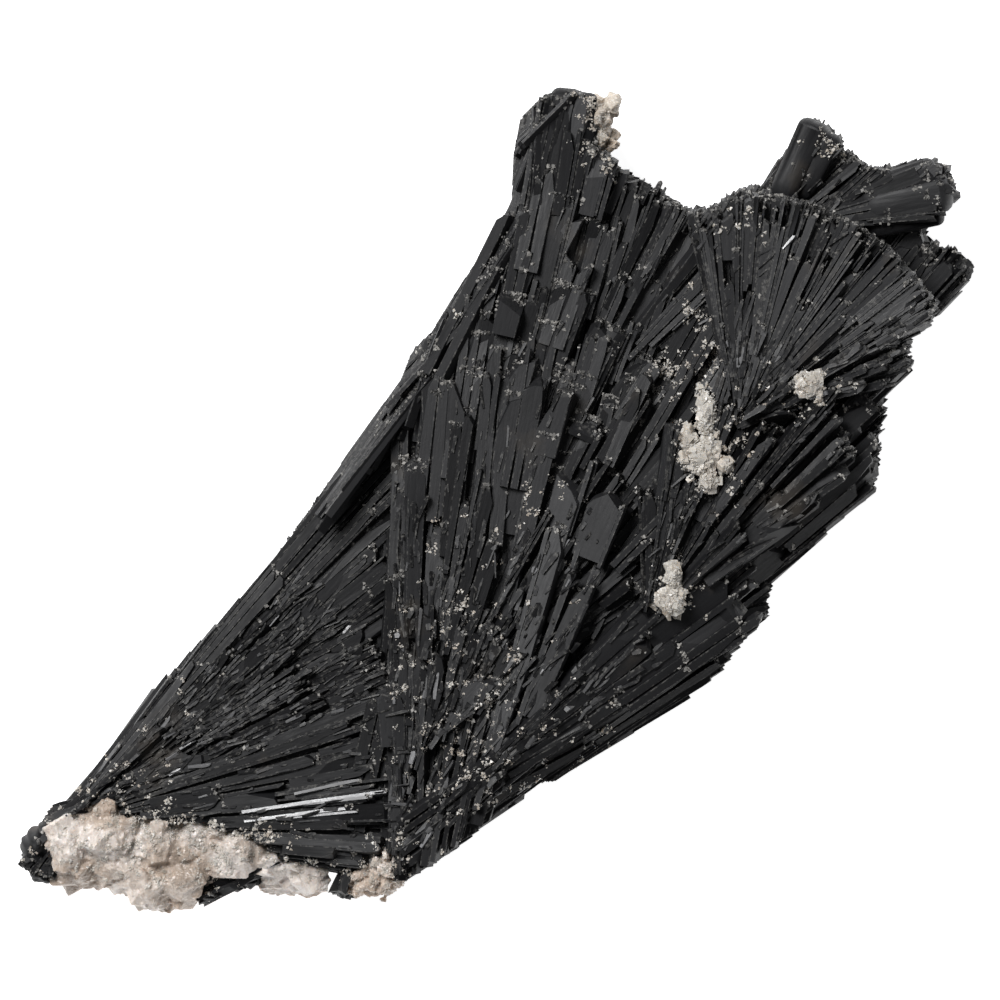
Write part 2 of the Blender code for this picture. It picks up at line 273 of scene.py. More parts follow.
# %% Join copies into a mesh
def joined_mesh(name, copies, attributes):
    """One object from (points, triangles, {attribute: values}) parts. Points are on the sheet."""
    offsets = np.cumsum([0] + [len(points) for points, triangles, values in copies])
    points = on_sheet(np.concatenate([c[0] for c in copies]))
    triangles = np.concatenate([c[1] + start for c, start in zip(copies, offsets)])
    mesh = bpy.data.meshes.new(name)
    mesh.vertices.add(len(points))
    mesh.vertices.foreach_set("co", points.astype(np.float32).ravel())
    mesh.loops.add(3 * len(triangles))
    mesh.loops.foreach_set("vertex_index", triangles.astype(np.int32).ravel())
    mesh.polygons.add(len(triangles))
    mesh.polygons.foreach_set("loop_start", np.arange(0, 3 * len(triangles), 3, dtype=np.int32))
    mesh.update(calc_edges=True)
    mesh.shade_flat()
    for key in attributes:
        values = np.concatenate([c[2][key] for c in copies]).astype(np.float32)
        layer = mesh.attributes.new(key, "FLOAT", "POINT")
        layer.data.foreach_set("value", values)
    made = bpy.data.objects.new(name, mesh)
    bpy.context.scene.collection.objects.link(made)
    print(f"{name}: {len(triangles)} triangles")
    return made


def blade_copies(rows, dice, templates=BLADES):
    """The parts of joined_mesh for blades given as columns: root, heading, pitch, bank, sizes and tone."""
    parts = []
    which = dice.integers(0, len(templates), len(rows["x"]))
    for number, (shape, triangles) in enumerate(templates):
        r = {key: column[which == number][:, None] for key, column in rows.items()}
        count = len(r["x"])
        if not count:
            continue
        mirror = np.where(dice.random((count, 1)) < 0.5, -1.0, 1.0)
        share = np.clip(shape[:, 0], 0, 1)[None, :]
        past = shape[None, :, 0] - share
        reach = shape[:, 0].max() - 1
        body = np.maximum(r["length"] - reach * r["wide_tip"], 0.4 * r["length"])
        along = body * share + (r["length"] - body) / reach * past
        wide = r["wide_root"] + (r["wide_tip"] - r["wide_root"]) * share
        across = shape[None, :, 1] * wide * mirror
        up = (shape[None, :, 2] - 0.5) * r["thick"]
        bank_c, bank_s = np.cos(r["bank"]), np.sin(r["bank"])
        side, lift = across * bank_c - up * bank_s, across * bank_s + up * bank_c
        forward = along * np.cos(r["pitch"]) - lift * np.sin(r["pitch"])
        z = r["z"] + along * np.sin(r["pitch"]) + lift * np.cos(r["pitch"])
        x = r["x"] + forward * np.cos(r["heading"]) - side * np.sin(r["heading"])
        y = r["y"] + forward * np.sin(r["heading"]) + side * np.cos(r["heading"])
        values = {
            "from_end": (r["length"] - along).ravel(),
            "across": across.ravel(),
            "rim": (wide / 2 + (0.5 - shape[None, :, 2]) * r["thick"]).ravel(),
            "tone": np.broadcast_to(r["tone"], x.shape).ravel(),
        }
        steps = np.arange(count)[:, None, None] * len(shape)
        faces = triangles[None] + steps
        faces = np.where(mirror[:, :, None] < 0, faces[:, :, ::-1], faces)
        parts.append((np.stack((x, y, z), axis=-1).reshape(-1, 3), faces.reshape(-1, 3), values))
    return parts


BLADE_ATTRIBUTES = ("from_end", "across", "rim", "tone")

# %% [markdown]
# ## Where the pale minerals are
# The blades leave the pale feldspar and quartz showing, so their places come before the
# blades. Each mass is a group of lumps that follow the solids, and each lump has a tint of
# its own: the real band goes from pinkish cream through beige to brown within a few
# millimetres.

# %% Pale lumps: x, y, z, radii along x, y, z, and tint (0 cream, 1 brown)
PALE_LUMPS = {
    "matrix_toe": [
        (-38.4, -29.7, 8.0, 1.7, 1.6, 2.6, 0.25), (-35.3, -29.9, 8.6, 2.7, 1.9, 2.6, 0.0),
        (-31.6, -30.7, 8.6, 2.1, 1.8, 3.0, 0.3), (-26.3, -29.9, 9.0, 2.0, 1.3, 2.2, 0.1),
        (-27.2, -31.7, 7.4, 3.7, 2.3, 3.6, 0.7), (-22.3, -30.7, 8.2, 2.5, 1.4, 2.4, 0.55),
        (-35.9, -32.2, 6.2, 3.7, 1.6, 3.4, 0.65), (-31.8, -34.9, 5.0, 1.1, 1.0, 1.8, 0.1),
        (-29.0, -34.3, 5.6, 2.4, 1.4, 2.8, 0.5), (-22.9, -32.2, 7.0, 2.1, 1.0, 2.6, 0.2),
        (-19.4, -33.0, 6.6, 1.7, 1.4, 2.6, 0.05), (-16.9, -33.3, 6.2, 1.6, 1.1, 2.2, 0.2),
        (-34.8, -27.2, 9.6, 0.8, 1.1, 1.8, 0.6), (-29.9, -28.8, 9.6, 2.7, 0.8, 1.6, 0.35),
        (-24.5, -29.3, 9.6, 2.2, 0.7, 1.4, 0.4), (-31.0, -32.2, 6.4, 3.6, 2.2, 3.8, 0.5),
    ],
    "matrix_heel": [(-11.2, -33.3, 8.0, 2.4, 1.8, 4.0, 0.5), (-10.1, -31.9, 10.6, 1.4, 1.2, 2.4, 0.2)],
    "quartz_tip": [(9.0, 33.9, 11.8, 1.1, 1.6, 2.4, 0.4), (9.2, 31.7, 11.2, 0.9, 1.2, 1.8, 0.5)],
    "quartz_patch": [
        (17.6, 3.8, 19.0, 1.6, 1.9, 1.6, 0.45), (18.2, 1.7, 18.8, 0.7, 1.1, 1.3, 0.2),
        (17.9, 7.4, 18.9, 0.6, 2.2, 1.4, 0.1), (16.4, 5.2, 18.9, 0.8, 0.9, 1.3, 0.1),
        (19.6, 3.0, 18.8, 0.7, 0.6, 1.2, 0.1),
    ],
    "quartz_knob": [(14.9, -8.7, 18.2, 1.3, 1.1, 1.6, 0.6), (15.1, -6.6, 18.2, 0.55, 1.2, 1.2, 0.3)],
    "quartz_shoulder": [(26.8, 10.1, 20.2, 1.3, 1.1, 1.2, 0.3)],
}
BAND = np.array([
    (-39.8, -27.9), (-35.8, -27.4), (-35.2, -26.0), (-33.9, -26.2), (-33.3, -27.6), (-30.9, -27.9),
    (-26.4, -28.1), (-23.0, -29.0), (-20.1, -30.3), (-18.5, -31.6), (-15.2, -32.2), (-15.2, -34.2),
    (-17.5, -34.5), (-20.6, -34.3), (-21.4, -32.6), (-24.0, -33.2), (-26.0, -33.6), (-27.4, -35.6),
    (-31.5, -35.8), (-32.7, -34.0), (-35.9, -33.6), (-38.8, -33.6), (-39.9, -31.0),
])
ALL_LUMPS = np.array([lump for lumps in PALE_LUMPS.values() for lump in lumps])


def edge_distance(x, y, outline):
    """How far each point is from an outline, in mm."""
    side = np.roll(outline, -1, axis=0) - outline
    fx, fy = x[:, None] - outline[:, 0], y[:, None] - outline[:, 1]
    share = np.clip((fx * side[:, 0] + fy * side[:, 1]) / (side**2).sum(axis=1), 0, 1)
    return np.hypot(fx - share * side[:, 0], fy - share * side[:, 1]).min(axis=1)


def is_pale(x, y):
    """True for each point of the sheet that belongs to a pale mass."""
    pale = room_ahead(x, y, np.zeros(len(x)), BAND) > 0
    for cx, cy, _, rx, ry, _, _ in ALL_LUMPS:
        pale |= ((x - cx) / (rx * 0.85))**2 + ((y - cy) / (ry * 0.85))**2 < 1
    return pale


def fitted(x, y, heading, start, end, wide, rim, dice, on_pale=False, outline=INNER):
    """Where each blade starts and ends along its line, kept inside the outline and off the pale masses."""
    ahead, behind = np.full(len(x), np.inf), np.full(len(x), np.inf)
    for side in (-0.45, 0.0, 0.45):
        sx, sy = x - side * wide * np.sin(heading), y + side * wide * np.cos(heading)
        ahead = np.minimum(ahead, room_ahead(sx, sy, heading, outline))
        behind = np.minimum(behind, room_ahead(sx, sy, heading + math.pi, outline))
    end = np.minimum(end, ahead - rim * dice.random(len(x)) ** 2)
    start = np.maximum(start, -(behind - 0.15))
    if on_pale:
        return start, end
    marks = 25
    run = np.zeros(len(x))
    best, best_end = np.zeros(len(x)), np.zeros(len(x))
    for mark in range(marks):
        along = start + (end - start) * mark / (marks - 1)
        run = np.where(is_pale(x + along * np.cos(heading), y + along * np.sin(heading)), 0, run + 1)
        better = run > best
        best, best_end = np.where(better, run, best), np.where(better, mark, best_end)
    step = (end - start) / (marks - 1)
    return start + step * (best_end - best + 1), start + step * np.where(best > 0, best_end, 0)


# %% [markdown]
# ## Letting the blades grow
# Three functions make the blades, all as columns of places and sizes. The first fills a fan
# through its depth with loose blades: it draws their middles evenly over a zone, points them
# away from the apex with a little straying, and stops each where the outline or the fan's
# reach stops it. The second lays the skin that one looks at. A kyanite blade is itself a stack
# of thinner ones, so the skin is made of plates, and each plate is one plane split into strips
# with ends of their own. The plates follow each other along lanes that widen away from the
# apex, and grooves are left between some lanes. The third sets thin blades along an edge.
# Seeded generators make the same specimen on every run.

# %% A smooth random field
def drift(dice, waves=14):
    """A smooth random field, about -1 to 1, that changes over about one unit of its two inputs."""
    turns = dice.normal(0, 0.5, (waves, 2))
    phase = dice.uniform(0, 1, waves)
    return lambda u, v: np.clip(
        np.cos(2 * math.pi * (u[:, None] * turns[:, 0] + v[:, None] * turns[:, 1] + phase)).sum(axis=1)
        * math.sqrt(2 / waves), -1.3, 1.3)


# %% Loose blades
def grow(seed, fan_name, count, azimuths=None, radii=(0, 100), widths=(1.0, 2.2), lengths=(10, 28),
         level=(0.05, 0.9), sink=(0.0, 0.8), thick=(0.8, 1.3), stray=1.6, bank=5.0, pitch=1.0, rim=0.5,
         tones=(0.0, 0.5), under=False, on_pale=False):
    """Columns of loose blades through the depth of a fan. Lengths in mm, angles in degrees."""
    dice = np.random.default_rng(seed)
    fan = FANS[fan_name]
    azimuth = dice.uniform(*(azimuths or fan["azimuths"]), count)
    far = np.minimum(radii[1], reach_of(fan, azimuth))
    radius = np.sqrt(dice.random(count) * np.maximum(far**2 - radii[0]**2, 0) + radii[0]**2)
    heading = np.radians(azimuth + dice.normal(0, stray, count))
    x = fan["apex"][0] + radius * np.cos(np.radians(azimuth))
    y = fan["apex"][1] + radius * np.sin(np.radians(azimuth))
    wide = widths[0] * (widths[1] / widths[0]) ** dice.random(count)
    half = dice.uniform(*lengths, count) / 2
    start, end = fitted(x, y, heading, -np.minimum(half, radius), np.minimum(half, far - radius), wide, rim,
                        dice, on_pale)
    length = end - start
    root_z = height_in(fan, dice.uniform(*level, count), azimuth, radius)
    slope = np.radians(dice.normal(0, pitch, count))
    rows = {
        "x": x + start * np.cos(heading), "y": y + start * np.sin(heading),
        "z": root_z - dice.uniform(*sink, count) - np.tan(slope) * length / 2,
        "heading": heading, "pitch": slope,
        "bank": np.radians(dice.normal(0, bank, count)) + (math.pi if under else 0.0), "length": length,
        "wide_root": wide * 0.75, "wide_tip": wide, "thick": dice.uniform(*thick, count),
        "tone": dice.uniform(*tones, count),
    }
    keep = (length > 1.5) & (radius < far)
    return {key: column[keep] for key, column in rows.items()}


# %% Lay one skin
def lay(seed, fan_name, azimuths=None, radii=(1.0, 100.0), plates=(1.2, 3.5), strips=(0.3, 1.2),
        runs=(6, 20), rise=0.5, drop=0.4, pits=0.12, pit=1.6, bank=2.0, lower=0.0, thick=(1.0, 1.8),
        stray=0.8, steps=1.5, rim=0.25, grooves=0.3, groove=(0.2, 0.7), gap=0.05, tones=(0.0, 0.6),
        on_pale=False):
    """Columns of the strips of one skin: lanes of plates, each plate one plane split into strips."""
    dice = np.random.default_rng(seed)
    fan = FANS[fan_name]
    first, last = azimuths or fan["azimuths"]
    lanes, azimuth = [], first
    while azimuth < last:
        near = radii[0] - dice.uniform(0, runs[0])
        turn = math.degrees(plates[0] * (plates[1] / plates[0]) ** dice.random() / max(near + runs[1], 4.0))
        lanes.append((azimuth, azimuth + turn, near))
        room = dice.uniform(*groove) if dice.random() < grooves else 0.0
        azimuth += turn + math.degrees(room / max(near + runs[1], 4.0))
    rows = []
    while lanes:
        right, left, near = lanes.pop()
        middle = (right + left) / 2
        limit = min(reach_of(fan, np.array([middle]))[0], radii[1])
        far = near + dice.uniform(*runs)
        wide = math.radians(left - right) * far
        if near < limit:
            stop = min(far, limit) if limit < 90 else far
            count = max(1, round(wide / dice.uniform(*strips)))
            cuts = np.sort(np.concatenate([[0.0, 1.0], dice.uniform(0.05, 0.95, count - 1)]))
            down = lower + drop * dice.random() + (
                pit * dice.uniform(0.5, 1.0) if dice.random() < pits else 0.0)
            plate_bank = dice.normal(0, bank)
            plate_stray = dice.normal(0, stray)
            plate_tone = dice.uniform(*tones)
            for a, b in zip(cuts[:-1], cuts[1:]):
                if b - a < 0.04:
                    continue
                tip = stop - steps * dice.random() ** 2
                root = max(near - dice.uniform(0.5, 3.0), min(radii[0], 4.0) * dice.uniform(0.2, 1.0))
                at = right + (left - right) * (a + b) / 2
                rows.append((at, root, tip, (b - a) * wide - gap, down - dice.normal(0, 0.04), plate_bank,
                             ((a + b) / 2 - 0.5) * wide, plate_stray + dice.normal(0, 0.25),
                             np.clip(plate_tone + dice.normal(0, 0.1), 0, 0.94)))
        if far < limit:
            if wide > plates[1]:
                cut = right + (left - right) * dice.uniform(0.3, 0.7)
                room = math.degrees(dice.uniform(*groove) / far) if dice.random() < grooves else 0.0
                lanes += [(right, cut, far), (min(cut + room, left), left, far)]
            else:
                lanes.append((right, left, far))
    azimuth, root, tip, wide, down, banked, offset, strayed, tone = np.array(rows).T
    middle = (root + tip) / 2
    x = fan["apex"][0] + middle * np.cos(np.radians(azimuth))
    y = fan["apex"][1] + middle * np.sin(np.radians(azimuth))
    heading = np.radians(azimuth + strayed)
    start, end = fitted(x, y, heading, root - middle, tip - middle, wide, rim, dice, on_pale)
    length = end - start
    across_slope = (height_in(fan, 1.0, azimuth + 1, middle) - height_in(fan, 1.0, azimuth - 1, middle)) \
        / np.maximum(np.radians(2) * middle, 0.2)
    tilt = np.arctan(np.clip(across_slope, -1.2, 1.2)) + np.radians(banked)
    root_z = height_in(fan, 1.0, azimuth, middle + start) - down - rise
    tip_z = height_in(fan, 1.0, azimuth, middle + end) - down
    rows = {
        "x": x + start * np.cos(heading), "y": y + start * np.sin(heading),
        "z": root_z + offset * np.sin(np.radians(banked)), "heading": heading,
        "pitch": np.arctan2(tip_z - root_z, np.maximum(length, 1.0)), "bank": tilt, "length": length,
        "wide_root": np.maximum(wide * np.clip((middle + start) / np.maximum(tip, 1), 0.25, 1), 0.12),
        "wide_tip": wide, "thick": dice.uniform(*thick, len(x)), "tone": tone,
    }
    keep = (length > 0.8) & (wide > 0.1)
    return {key: column[keep] for key, column in rows.items()}


# %% Blades along an edge
def edging(seed, line, count, inward=(0.05, 1.8), lengths=(4, 14), widths=(0.15, 0.6), heights=(5.5, 14.5),
           lean=-40):
    """Columns of thin blades that run along a line of the outline, on the slope inside it."""
    dice = np.random.default_rng(seed)
    side = np.diff(line, axis=0)
    along = np.concatenate([[0], np.cumsum(np.hypot(*side.T))])
    place = dice.uniform(0, along[-1], count)
    centres = (along[:-1] + along[1:]) / 2
    turn = np.interp(place, centres, np.unwrap(np.arctan2(side[:, 1], side[:, 0])))
    share = dice.random(count)
    off = inward[0] + (inward[1] - inward[0]) * share
    x = np.interp(place, along, line[:, 0]) + off * np.sin(turn)
    y = np.interp(place, along, line[:, 1]) - off * np.cos(turn)
    heading = turn + np.radians(dice.normal(0, 1.2, count))
    half = dice.uniform(*lengths, count) / 2
    wide = dice.uniform(*widths, count)
    start, end = fitted(x, y, heading, -half, half, wide, 0.2, dice, outline=OUTLINE)
    length = end - start
    rows = {
        "x": x + start * np.cos(heading), "y": y + start * np.sin(heading),
        "z": heights[0] + (heights[1] - heights[0]) * share**0.6 + dice.normal(0, 0.3, count),
        "heading": heading, "pitch": np.radians(dice.normal(0, 0.6, count)),
        "bank": np.radians(dice.normal(lean, 16, count)), "length": length, "wide_root": wide * 0.8,
        "wide_tip": wide, "thick": dice.uniform(0.7, 1.2, count), "tone": dice.uniform(0.1, 0.9, count),
    }
    keep = length > 2.0
    return {key: column[keep] for key, column in rows.items()}


def stacked(*zones):
    """Several zones' columns as one."""
    return {key: np.concatenate([zone[key] for zone in zones]) for key in zones[0]}


# %% [markdown]
# ## The body of the toe and heel fans
# Under the skin both great fans are stacks of blades through their whole thickness. They show
# from the sides, where their ends make the ragged rim, and as dark depth in every gap of the
# skin. They are drawn at all levels between the underside and the top, wide and thick, because
# nothing finer would be seen there.

# %% Piece: toe fan
toe = stacked(
    grow(101, "toe", 800, lengths=(14, 30)),
    grow(102, "toe_edge", 420, widths=(0.8, 1.6), lengths=(14, 34)),
    grow(105, "toe", 500, lengths=(8, 24), level=(0, 0), sink=(-0.9, -0.3), under=True),
    grow(108, "toe_tip", 160, on_pale=True, widths=(0.7, 1.6), lengths=(3, 9), level=(0.2, 0.9)),
)
toe_blades = joined_mesh("toe_fan_blades", blade_copies(toe, np.random.default_rng(191)),
                         BLADE_ATTRIBUTES)

# %% Piece: skin of the toe fan
# The toe's skins are given dark tones: painted shade, over each plate's own random tone.
toe_skin = stacked(
    lay(103, "toe", (-8, 22), plates=(1.0, 3.6), strips=(0.3, 1.2), runs=(12, 34), pits=0.2, pit=1.2,
        grooves=0.6, steps=4, rise=0.3, tones=(0.0, 0.35)),
    lay(203, "toe", (-8, 22), plates=(1.0, 3.0), strips=(0.3, 0.9), runs=(5, 16), lower=1.0,
        tones=(0.0, 0.4)),
    lay(104, "toe", (20, 48), plates=(0.8, 2.4), strips=(0.25, 0.8), runs=(5, 16), bank=5, pits=0.25,
        pit=1.2, rise=0.4, grooves=0.6, steps=3, tones=(0.0, 0.28)),
    lay(204, "toe", (20, 48), plates=(0.8, 2.0), strips=(0.25, 0.7), runs=(3, 8), bank=6, lower=1.0,
        rise=0.6, tones=(0.0, 0.3)),
    lay(106, "toe_edge", plates=(0.7, 1.8), strips=(0.2, 0.5), runs=(4, 18), rise=0.4, pits=0.25, pit=0.9,
        bank=9, tones=(0.0, 0.3)),
    lay(206, "toe_edge", plates=(0.8, 1.8), strips=(0.2, 0.6), runs=(6, 18), lower=0.7, tones=(0.0, 0.2)),
    lay(107, "toe_tip", plates=(0.8, 2.0), strips=(0.3, 0.8), runs=(2, 6), rise=0.1, drop=0.2, rim=0.1,
        on_pale=True),
)
toe_skin_blades = joined_mesh("toe_skin_blades", blade_copies(toe_skin, np.random.default_rng(196)),
                              BLADE_ATTRIBUTES)

# %% Piece: heel fan
heel = stacked(
    grow(111, "heel", 1900, lengths=(14, 34), widths=(1.0, 2.4), level=(0.05, 0.8)),
    grow(119, "heel", 420, azimuths=(86, 106), lengths=(10, 30), widths=(1.0, 2.4), level=(0.05, 0.6)),
    grow(120, "toe", 300, azimuths=(-8, 46), radii=(24, 100), lengths=(6, 16), level=(0.05, 0.8)),
    grow(113, "heel", 900, lengths=(8, 28), level=(0, 0), sink=(-0.9, -0.3), under=True),
    grow(115, "chip", 60, on_pale=True, widths=(0.6, 1.6), lengths=(2, 8), level=(0.2, 0.9)),
    grow(116, "spur", 60, on_pale=True, widths=(0.6, 1.2), lengths=(3, 8), level=(0.2, 0.9)),
    grow(121, "flank", 420, widths=(0.9, 1.8), lengths=(12, 30)),
)
heel_blades = joined_mesh("heel_fan_blades", blade_copies(heel, np.random.default_rng(192)),
                          BLADE_ATTRIBUTES)

# %% Piece: skin of the heel fan
# The heel's and the flank's skins are given dark tones: painted shade, most of all on the flank that faces
# away from the light.
heel_skin = stacked(
    lay(112, "heel", (39, 56), radii=(1, 43), plates=(1.0, 3.0), strips=(0.3, 1.2), runs=(6, 18), pits=0.2,
        pit=1.6, grooves=0.6, groove=(0.3, 0.9), tones=(0.0, 0.5)),
    lay(118, "heel", (39, 56), radii=(43, 100), plates=(0.8, 2.4), strips=(0.25, 0.8), runs=(2.5, 8),
        lower=1.8, bank=12, rise=0.9, pits=0.25, pit=1.5),
    lay(212, "heel", (39, 56), plates=(1.0, 3.0), strips=(0.3, 1.2), runs=(5, 14), lower=1.7),
    lay(117, "heel", (54, 89), plates=(0.8, 2.6), strips=(0.25, 1.0), runs=(3, 10), bank=7, stray=2.5,
        pits=0.25, pit=1.8, rise=0.7, grooves=0.5),
    lay(217, "heel", (54, 89), plates=(0.8, 2.2), strips=(0.25, 0.9), runs=(2.5, 8), bank=8, stray=4,
        lower=1.2, rise=0.7),
    lay(122, "flank", plates=(1.2, 3.6), strips=(0.4, 1.6), runs=(12, 34), rise=0.2, drop=0.4, pits=0.1,
        pit=0.9, bank=3, grooves=0.5, groove=(0.15, 0.4), tones=(0.0, 0.35)),
    lay(222, "flank", plates=(1.0, 3.0), strips=(0.4, 1.2), runs=(8, 24), lower=0.8),
    lay(114, "chip", plates=(0.8, 2.0), strips=(0.3, 0.9), runs=(3, 9), rise=0.1, drop=0.2, on_pale=True),
)
heel_skin_blades = joined_mesh("heel_skin_blades", blade_copies(heel_skin, np.random.default_rng(193)),
                               BLADE_ATTRIBUTES)

# %% [markdown]
# ## The small fans on top
# These are what one sees first: the near upright column on the left, the crest that opens to
# the right of it, and the knee and shoulder fans with their pale grey flat faces. Their tones
# are set lighter on the column, the left finger and the shoulder, as painted light on their lit
# tops, and darker in the crest's middle and on the knee, as painted shade.

# %% Piece: column and crest
# The column's skin is given light tones, painted light on its lit top. The crest's middle fan and its lower
# skin get dark ones, painted shade.
crest = stacked(
    grow(131, "column", 500, azimuths=(72, 91.4), radii=(15, 100), lengths=(10, 26), level=(0.1, 0.75)),
    lay(132, "column", radii=(34, 100), plates=(1.2, 4.2), strips=(0.6, 3.6), runs=(7, 22), pits=0.14,
        pit=2.0, bank=2, grooves=0.8, groove=(0.25, 0.8), steps=4, tones=(0.3, 0.94)),
    lay(130, "column", (73, 91.4), radii=(17, 37), plates=(0.6, 2.2), strips=(0.25, 0.9), runs=(2.5, 9),
        pits=0.25, pit=1.6, bank=8, stray=2.2, grooves=0.7, groove=(0.15, 0.5), steps=2),
    lay(232, "column", (72, 91.4), radii=(15, 100), plates=(1.0, 3.0), strips=(0.3, 1.4), runs=(5, 16),
        lower=1.8),
    grow(133, "crest", 500, lengths=(8, 24), level=(0.1, 0.75)),
    lay(134, "crest", (60, 84), radii=(11, 100), plates=(1.0, 3.6), strips=(0.6, 2.6), runs=(5, 18),
        pits=0.2, pit=2.2, rise=0.6, grooves=0.8, groove=(0.25, 0.8), steps=5, tones=(0.1, 0.6)),
    lay(129, "crest", radii=(1, 13), plates=(0.6, 2.2), strips=(0.25, 0.9), runs=(2, 7), pits=0.25, pit=1.6,
        bank=10, stray=5, grooves=0.6, groove=(0.15, 0.5)),
    lay(135, "crest", (34, 62), radii=(10, 100), plates=(0.5, 1.6), strips=(0.3, 0.9), runs=(5, 18),
        pits=0.4, pit=2.4, rise=0.8, drop=1.0, bank=9, grooves=1.0, groove=(0.3, 1.1), tones=(0.0, 0.28)),
    lay(234, "crest", radii=(1, 100), plates=(1.0, 3.0), strips=(0.3, 1.2), runs=(4, 12), lower=1.9,
        tones=(0.0, 0.3)),
    lay(235, "ridge", plates=(0.8, 2.4), strips=(0.3, 1.2), runs=(5, 20), pits=0.2, pit=1.6, lower=0.2,
        grooves=0.6),
)
crest_blades = joined_mesh("crest_blades", blade_copies(crest, np.random.default_rng(194)),
                           BLADE_ATTRIBUTES)

# %% Piece: back, fingers and left edge
# The left finger's skin is given light tones: painted light on its lit top.
back = stacked(
    grow(140, "back", 400, radii=(12, 100), lengths=(6, 20), level=(0.05, 0.75)),
    grow(147, "far_heel", 260, radii=(48, 100), lengths=(6, 18), level=(0.0, 0.6)),
    lay(136, "far_heel", radii=(36, 100), plates=(0.8, 2.4), strips=(0.3, 1.2), runs=(5, 18), pits=0.3,
        pit=2.2, rise=0.6, drop=0.8, bank=6, grooves=0.8, groove=(0.3, 0.9), tones=(0.1, 0.7)),
    lay(236, "far_heel", radii=(34, 100), plates=(0.9, 2.6), strips=(0.3, 1.2), runs=(5, 14), lower=1.8),
    lay(137, "back", radii=(14, 100), plates=(0.8, 2.4), strips=(0.3, 1.2), runs=(4, 15), pits=0.3, pit=2.2,
        rise=0.6, drop=0.8, bank=6, grooves=0.8, groove=(0.3, 0.9), tones=(0.2, 0.8)),
    lay(237, "back", radii=(14, 100), plates=(0.8, 2.4), strips=(0.3, 1.1), runs=(5, 14), lower=1.8),
    grow(144, "left_finger", 200, radii=(8, 100), lengths=(6, 18), level=(0.05, 0.8)),
    lay(138, "left_finger", radii=(6, 100), plates=(1.0, 3.2), strips=(0.4, 1.6), runs=(8, 22), pits=0.15,
        pit=1.5, rise=1.8, rim=0.1, grooves=0.7, tones=(0.5, 0.94)),
    lay(238, "left_finger", radii=(6, 100), plates=(1.0, 3.0), strips=(0.3, 1.2), runs=(5, 16), lower=1.3),
    grow(145, "right_finger", 200, radii=(2, 100), lengths=(5, 14), level=(0.05, 0.8)),
    lay(139, "right_finger", radii=(1, 100), plates=(1.0, 2.6), strips=(0.3, 1.4), runs=(5, 14), pits=0.15,
        pit=1.0, rim=0.1, rise=0.2, grooves=0.5),
    lay(239, "right_finger", radii=(1, 100), plates=(1.0, 3.0), strips=(0.3, 1.2), runs=(4, 12), lower=1.2),
    edging(146, OUTLINE[LEFT_EDGE], 520),
)
back_blades = joined_mesh("back_blades", blade_copies(back, np.random.default_rng(197)),
                          BLADE_ATTRIBUTES)

# %% Piece: knee and shoulder
# The knee's skins are given dark tones, painted shade. The shoulder's top skin gets light ones, painted
# light on its flat faces.
shoulder = stacked(
    grow(141, "knee", 360, lengths=(6, 20), level=(0.1, 0.75)),
    lay(142, "knee", radii=(4, 100), plates=(0.7, 2.0), strips=(0.25, 0.8), runs=(4, 14), pits=0.35,
        pit=2.2, rise=0.6, drop=0.9, bank=8, grooves=0.9, groove=(0.2, 0.8), tones=(0.0, 0.5)),
    lay(242, "knee", plates=(0.9, 2.4), strips=(0.25, 0.8), runs=(3, 9), lower=1.6, tones=(0.0, 0.3)),
    grow(143, "shoulder", 360, widths=(0.9, 1.8), lengths=(5, 16), level=(0.1, 0.8)),
    lay(148, "shoulder", (28, 98), radii=(4, 100), plates=(0.9, 2.6), strips=(0.2, 0.55), runs=(3, 14),
        rise=0.35, drop=0.35, pits=0.08, pit=0.8, bank=5, grooves=0.5, groove=(0.05, 0.25), steps=3,
        tones=(0.45, 0.94)),
    lay(248, "shoulder", radii=(4, 100), plates=(1.0, 2.6), strips=(0.25, 0.6), runs=(3, 9), lower=0.9),
    lay(249, "shoulder", (14, 36), radii=(4, 18), plates=(0.6, 1.8), strips=(0.2, 0.6), runs=(2, 7),
        lower=0.6, bank=12, rise=1.2, pits=0.3, pit=1.0, steps=3),
)
shoulder_blades = joined_mesh("shoulder_blades", blade_copies(shoulder, np.random.default_rng(195)),
                              BLADE_ATTRIBUTES)

# %% [markdown]
# ## Thick rounded prisms
# The fingers end in a few thick crystals with rounded tips. They are the same plank as the
# blades, bevelled all round with more segments, and shaded smooth. The toe ends in a smooth
# dark lump, which is three uneven balls grown into each other.

# %% Rounded template
def prism_template():
    bm = bmesh.new()
    bmesh.ops.create_cube(bm, size=1.0,
                          matrix=Matrix.Translation((0.65, 0, 0)) @ Matrix.Diagonal((1.3, 1, 1, 1)))
    bmesh.ops.bisect_plane(bm, geom=bm.verts[:] + bm.edges[:] + bm.faces[:], plane_co=(1, 0, 0),
                           plane_no=(1, 0, 0))
    round_edges = [e for e in bm.edges
                   if not (all(v.co.z < 0 for v in e.verts) or all(abs(v.co.x - 1) < 1e-6 for v in e.verts))]
    bmesh.ops.bevel(bm, geom=round_edges, offset=0.34, offset_type="OFFSET", segments=4, profile=0.5,
                    affect="EDGES", material=-1, clamp_overlap=True)
    bmesh.ops.triangulate(bm, faces=bm.faces)
    bmesh.ops.recalc_face_normals(bm, faces=bm.faces)
    points = np.array([v.co[:] for v in bm.verts])
    triangles = np.array([[v.index for v in f.verts] for f in bm.faces])
    bm.free()
    return points, triangles


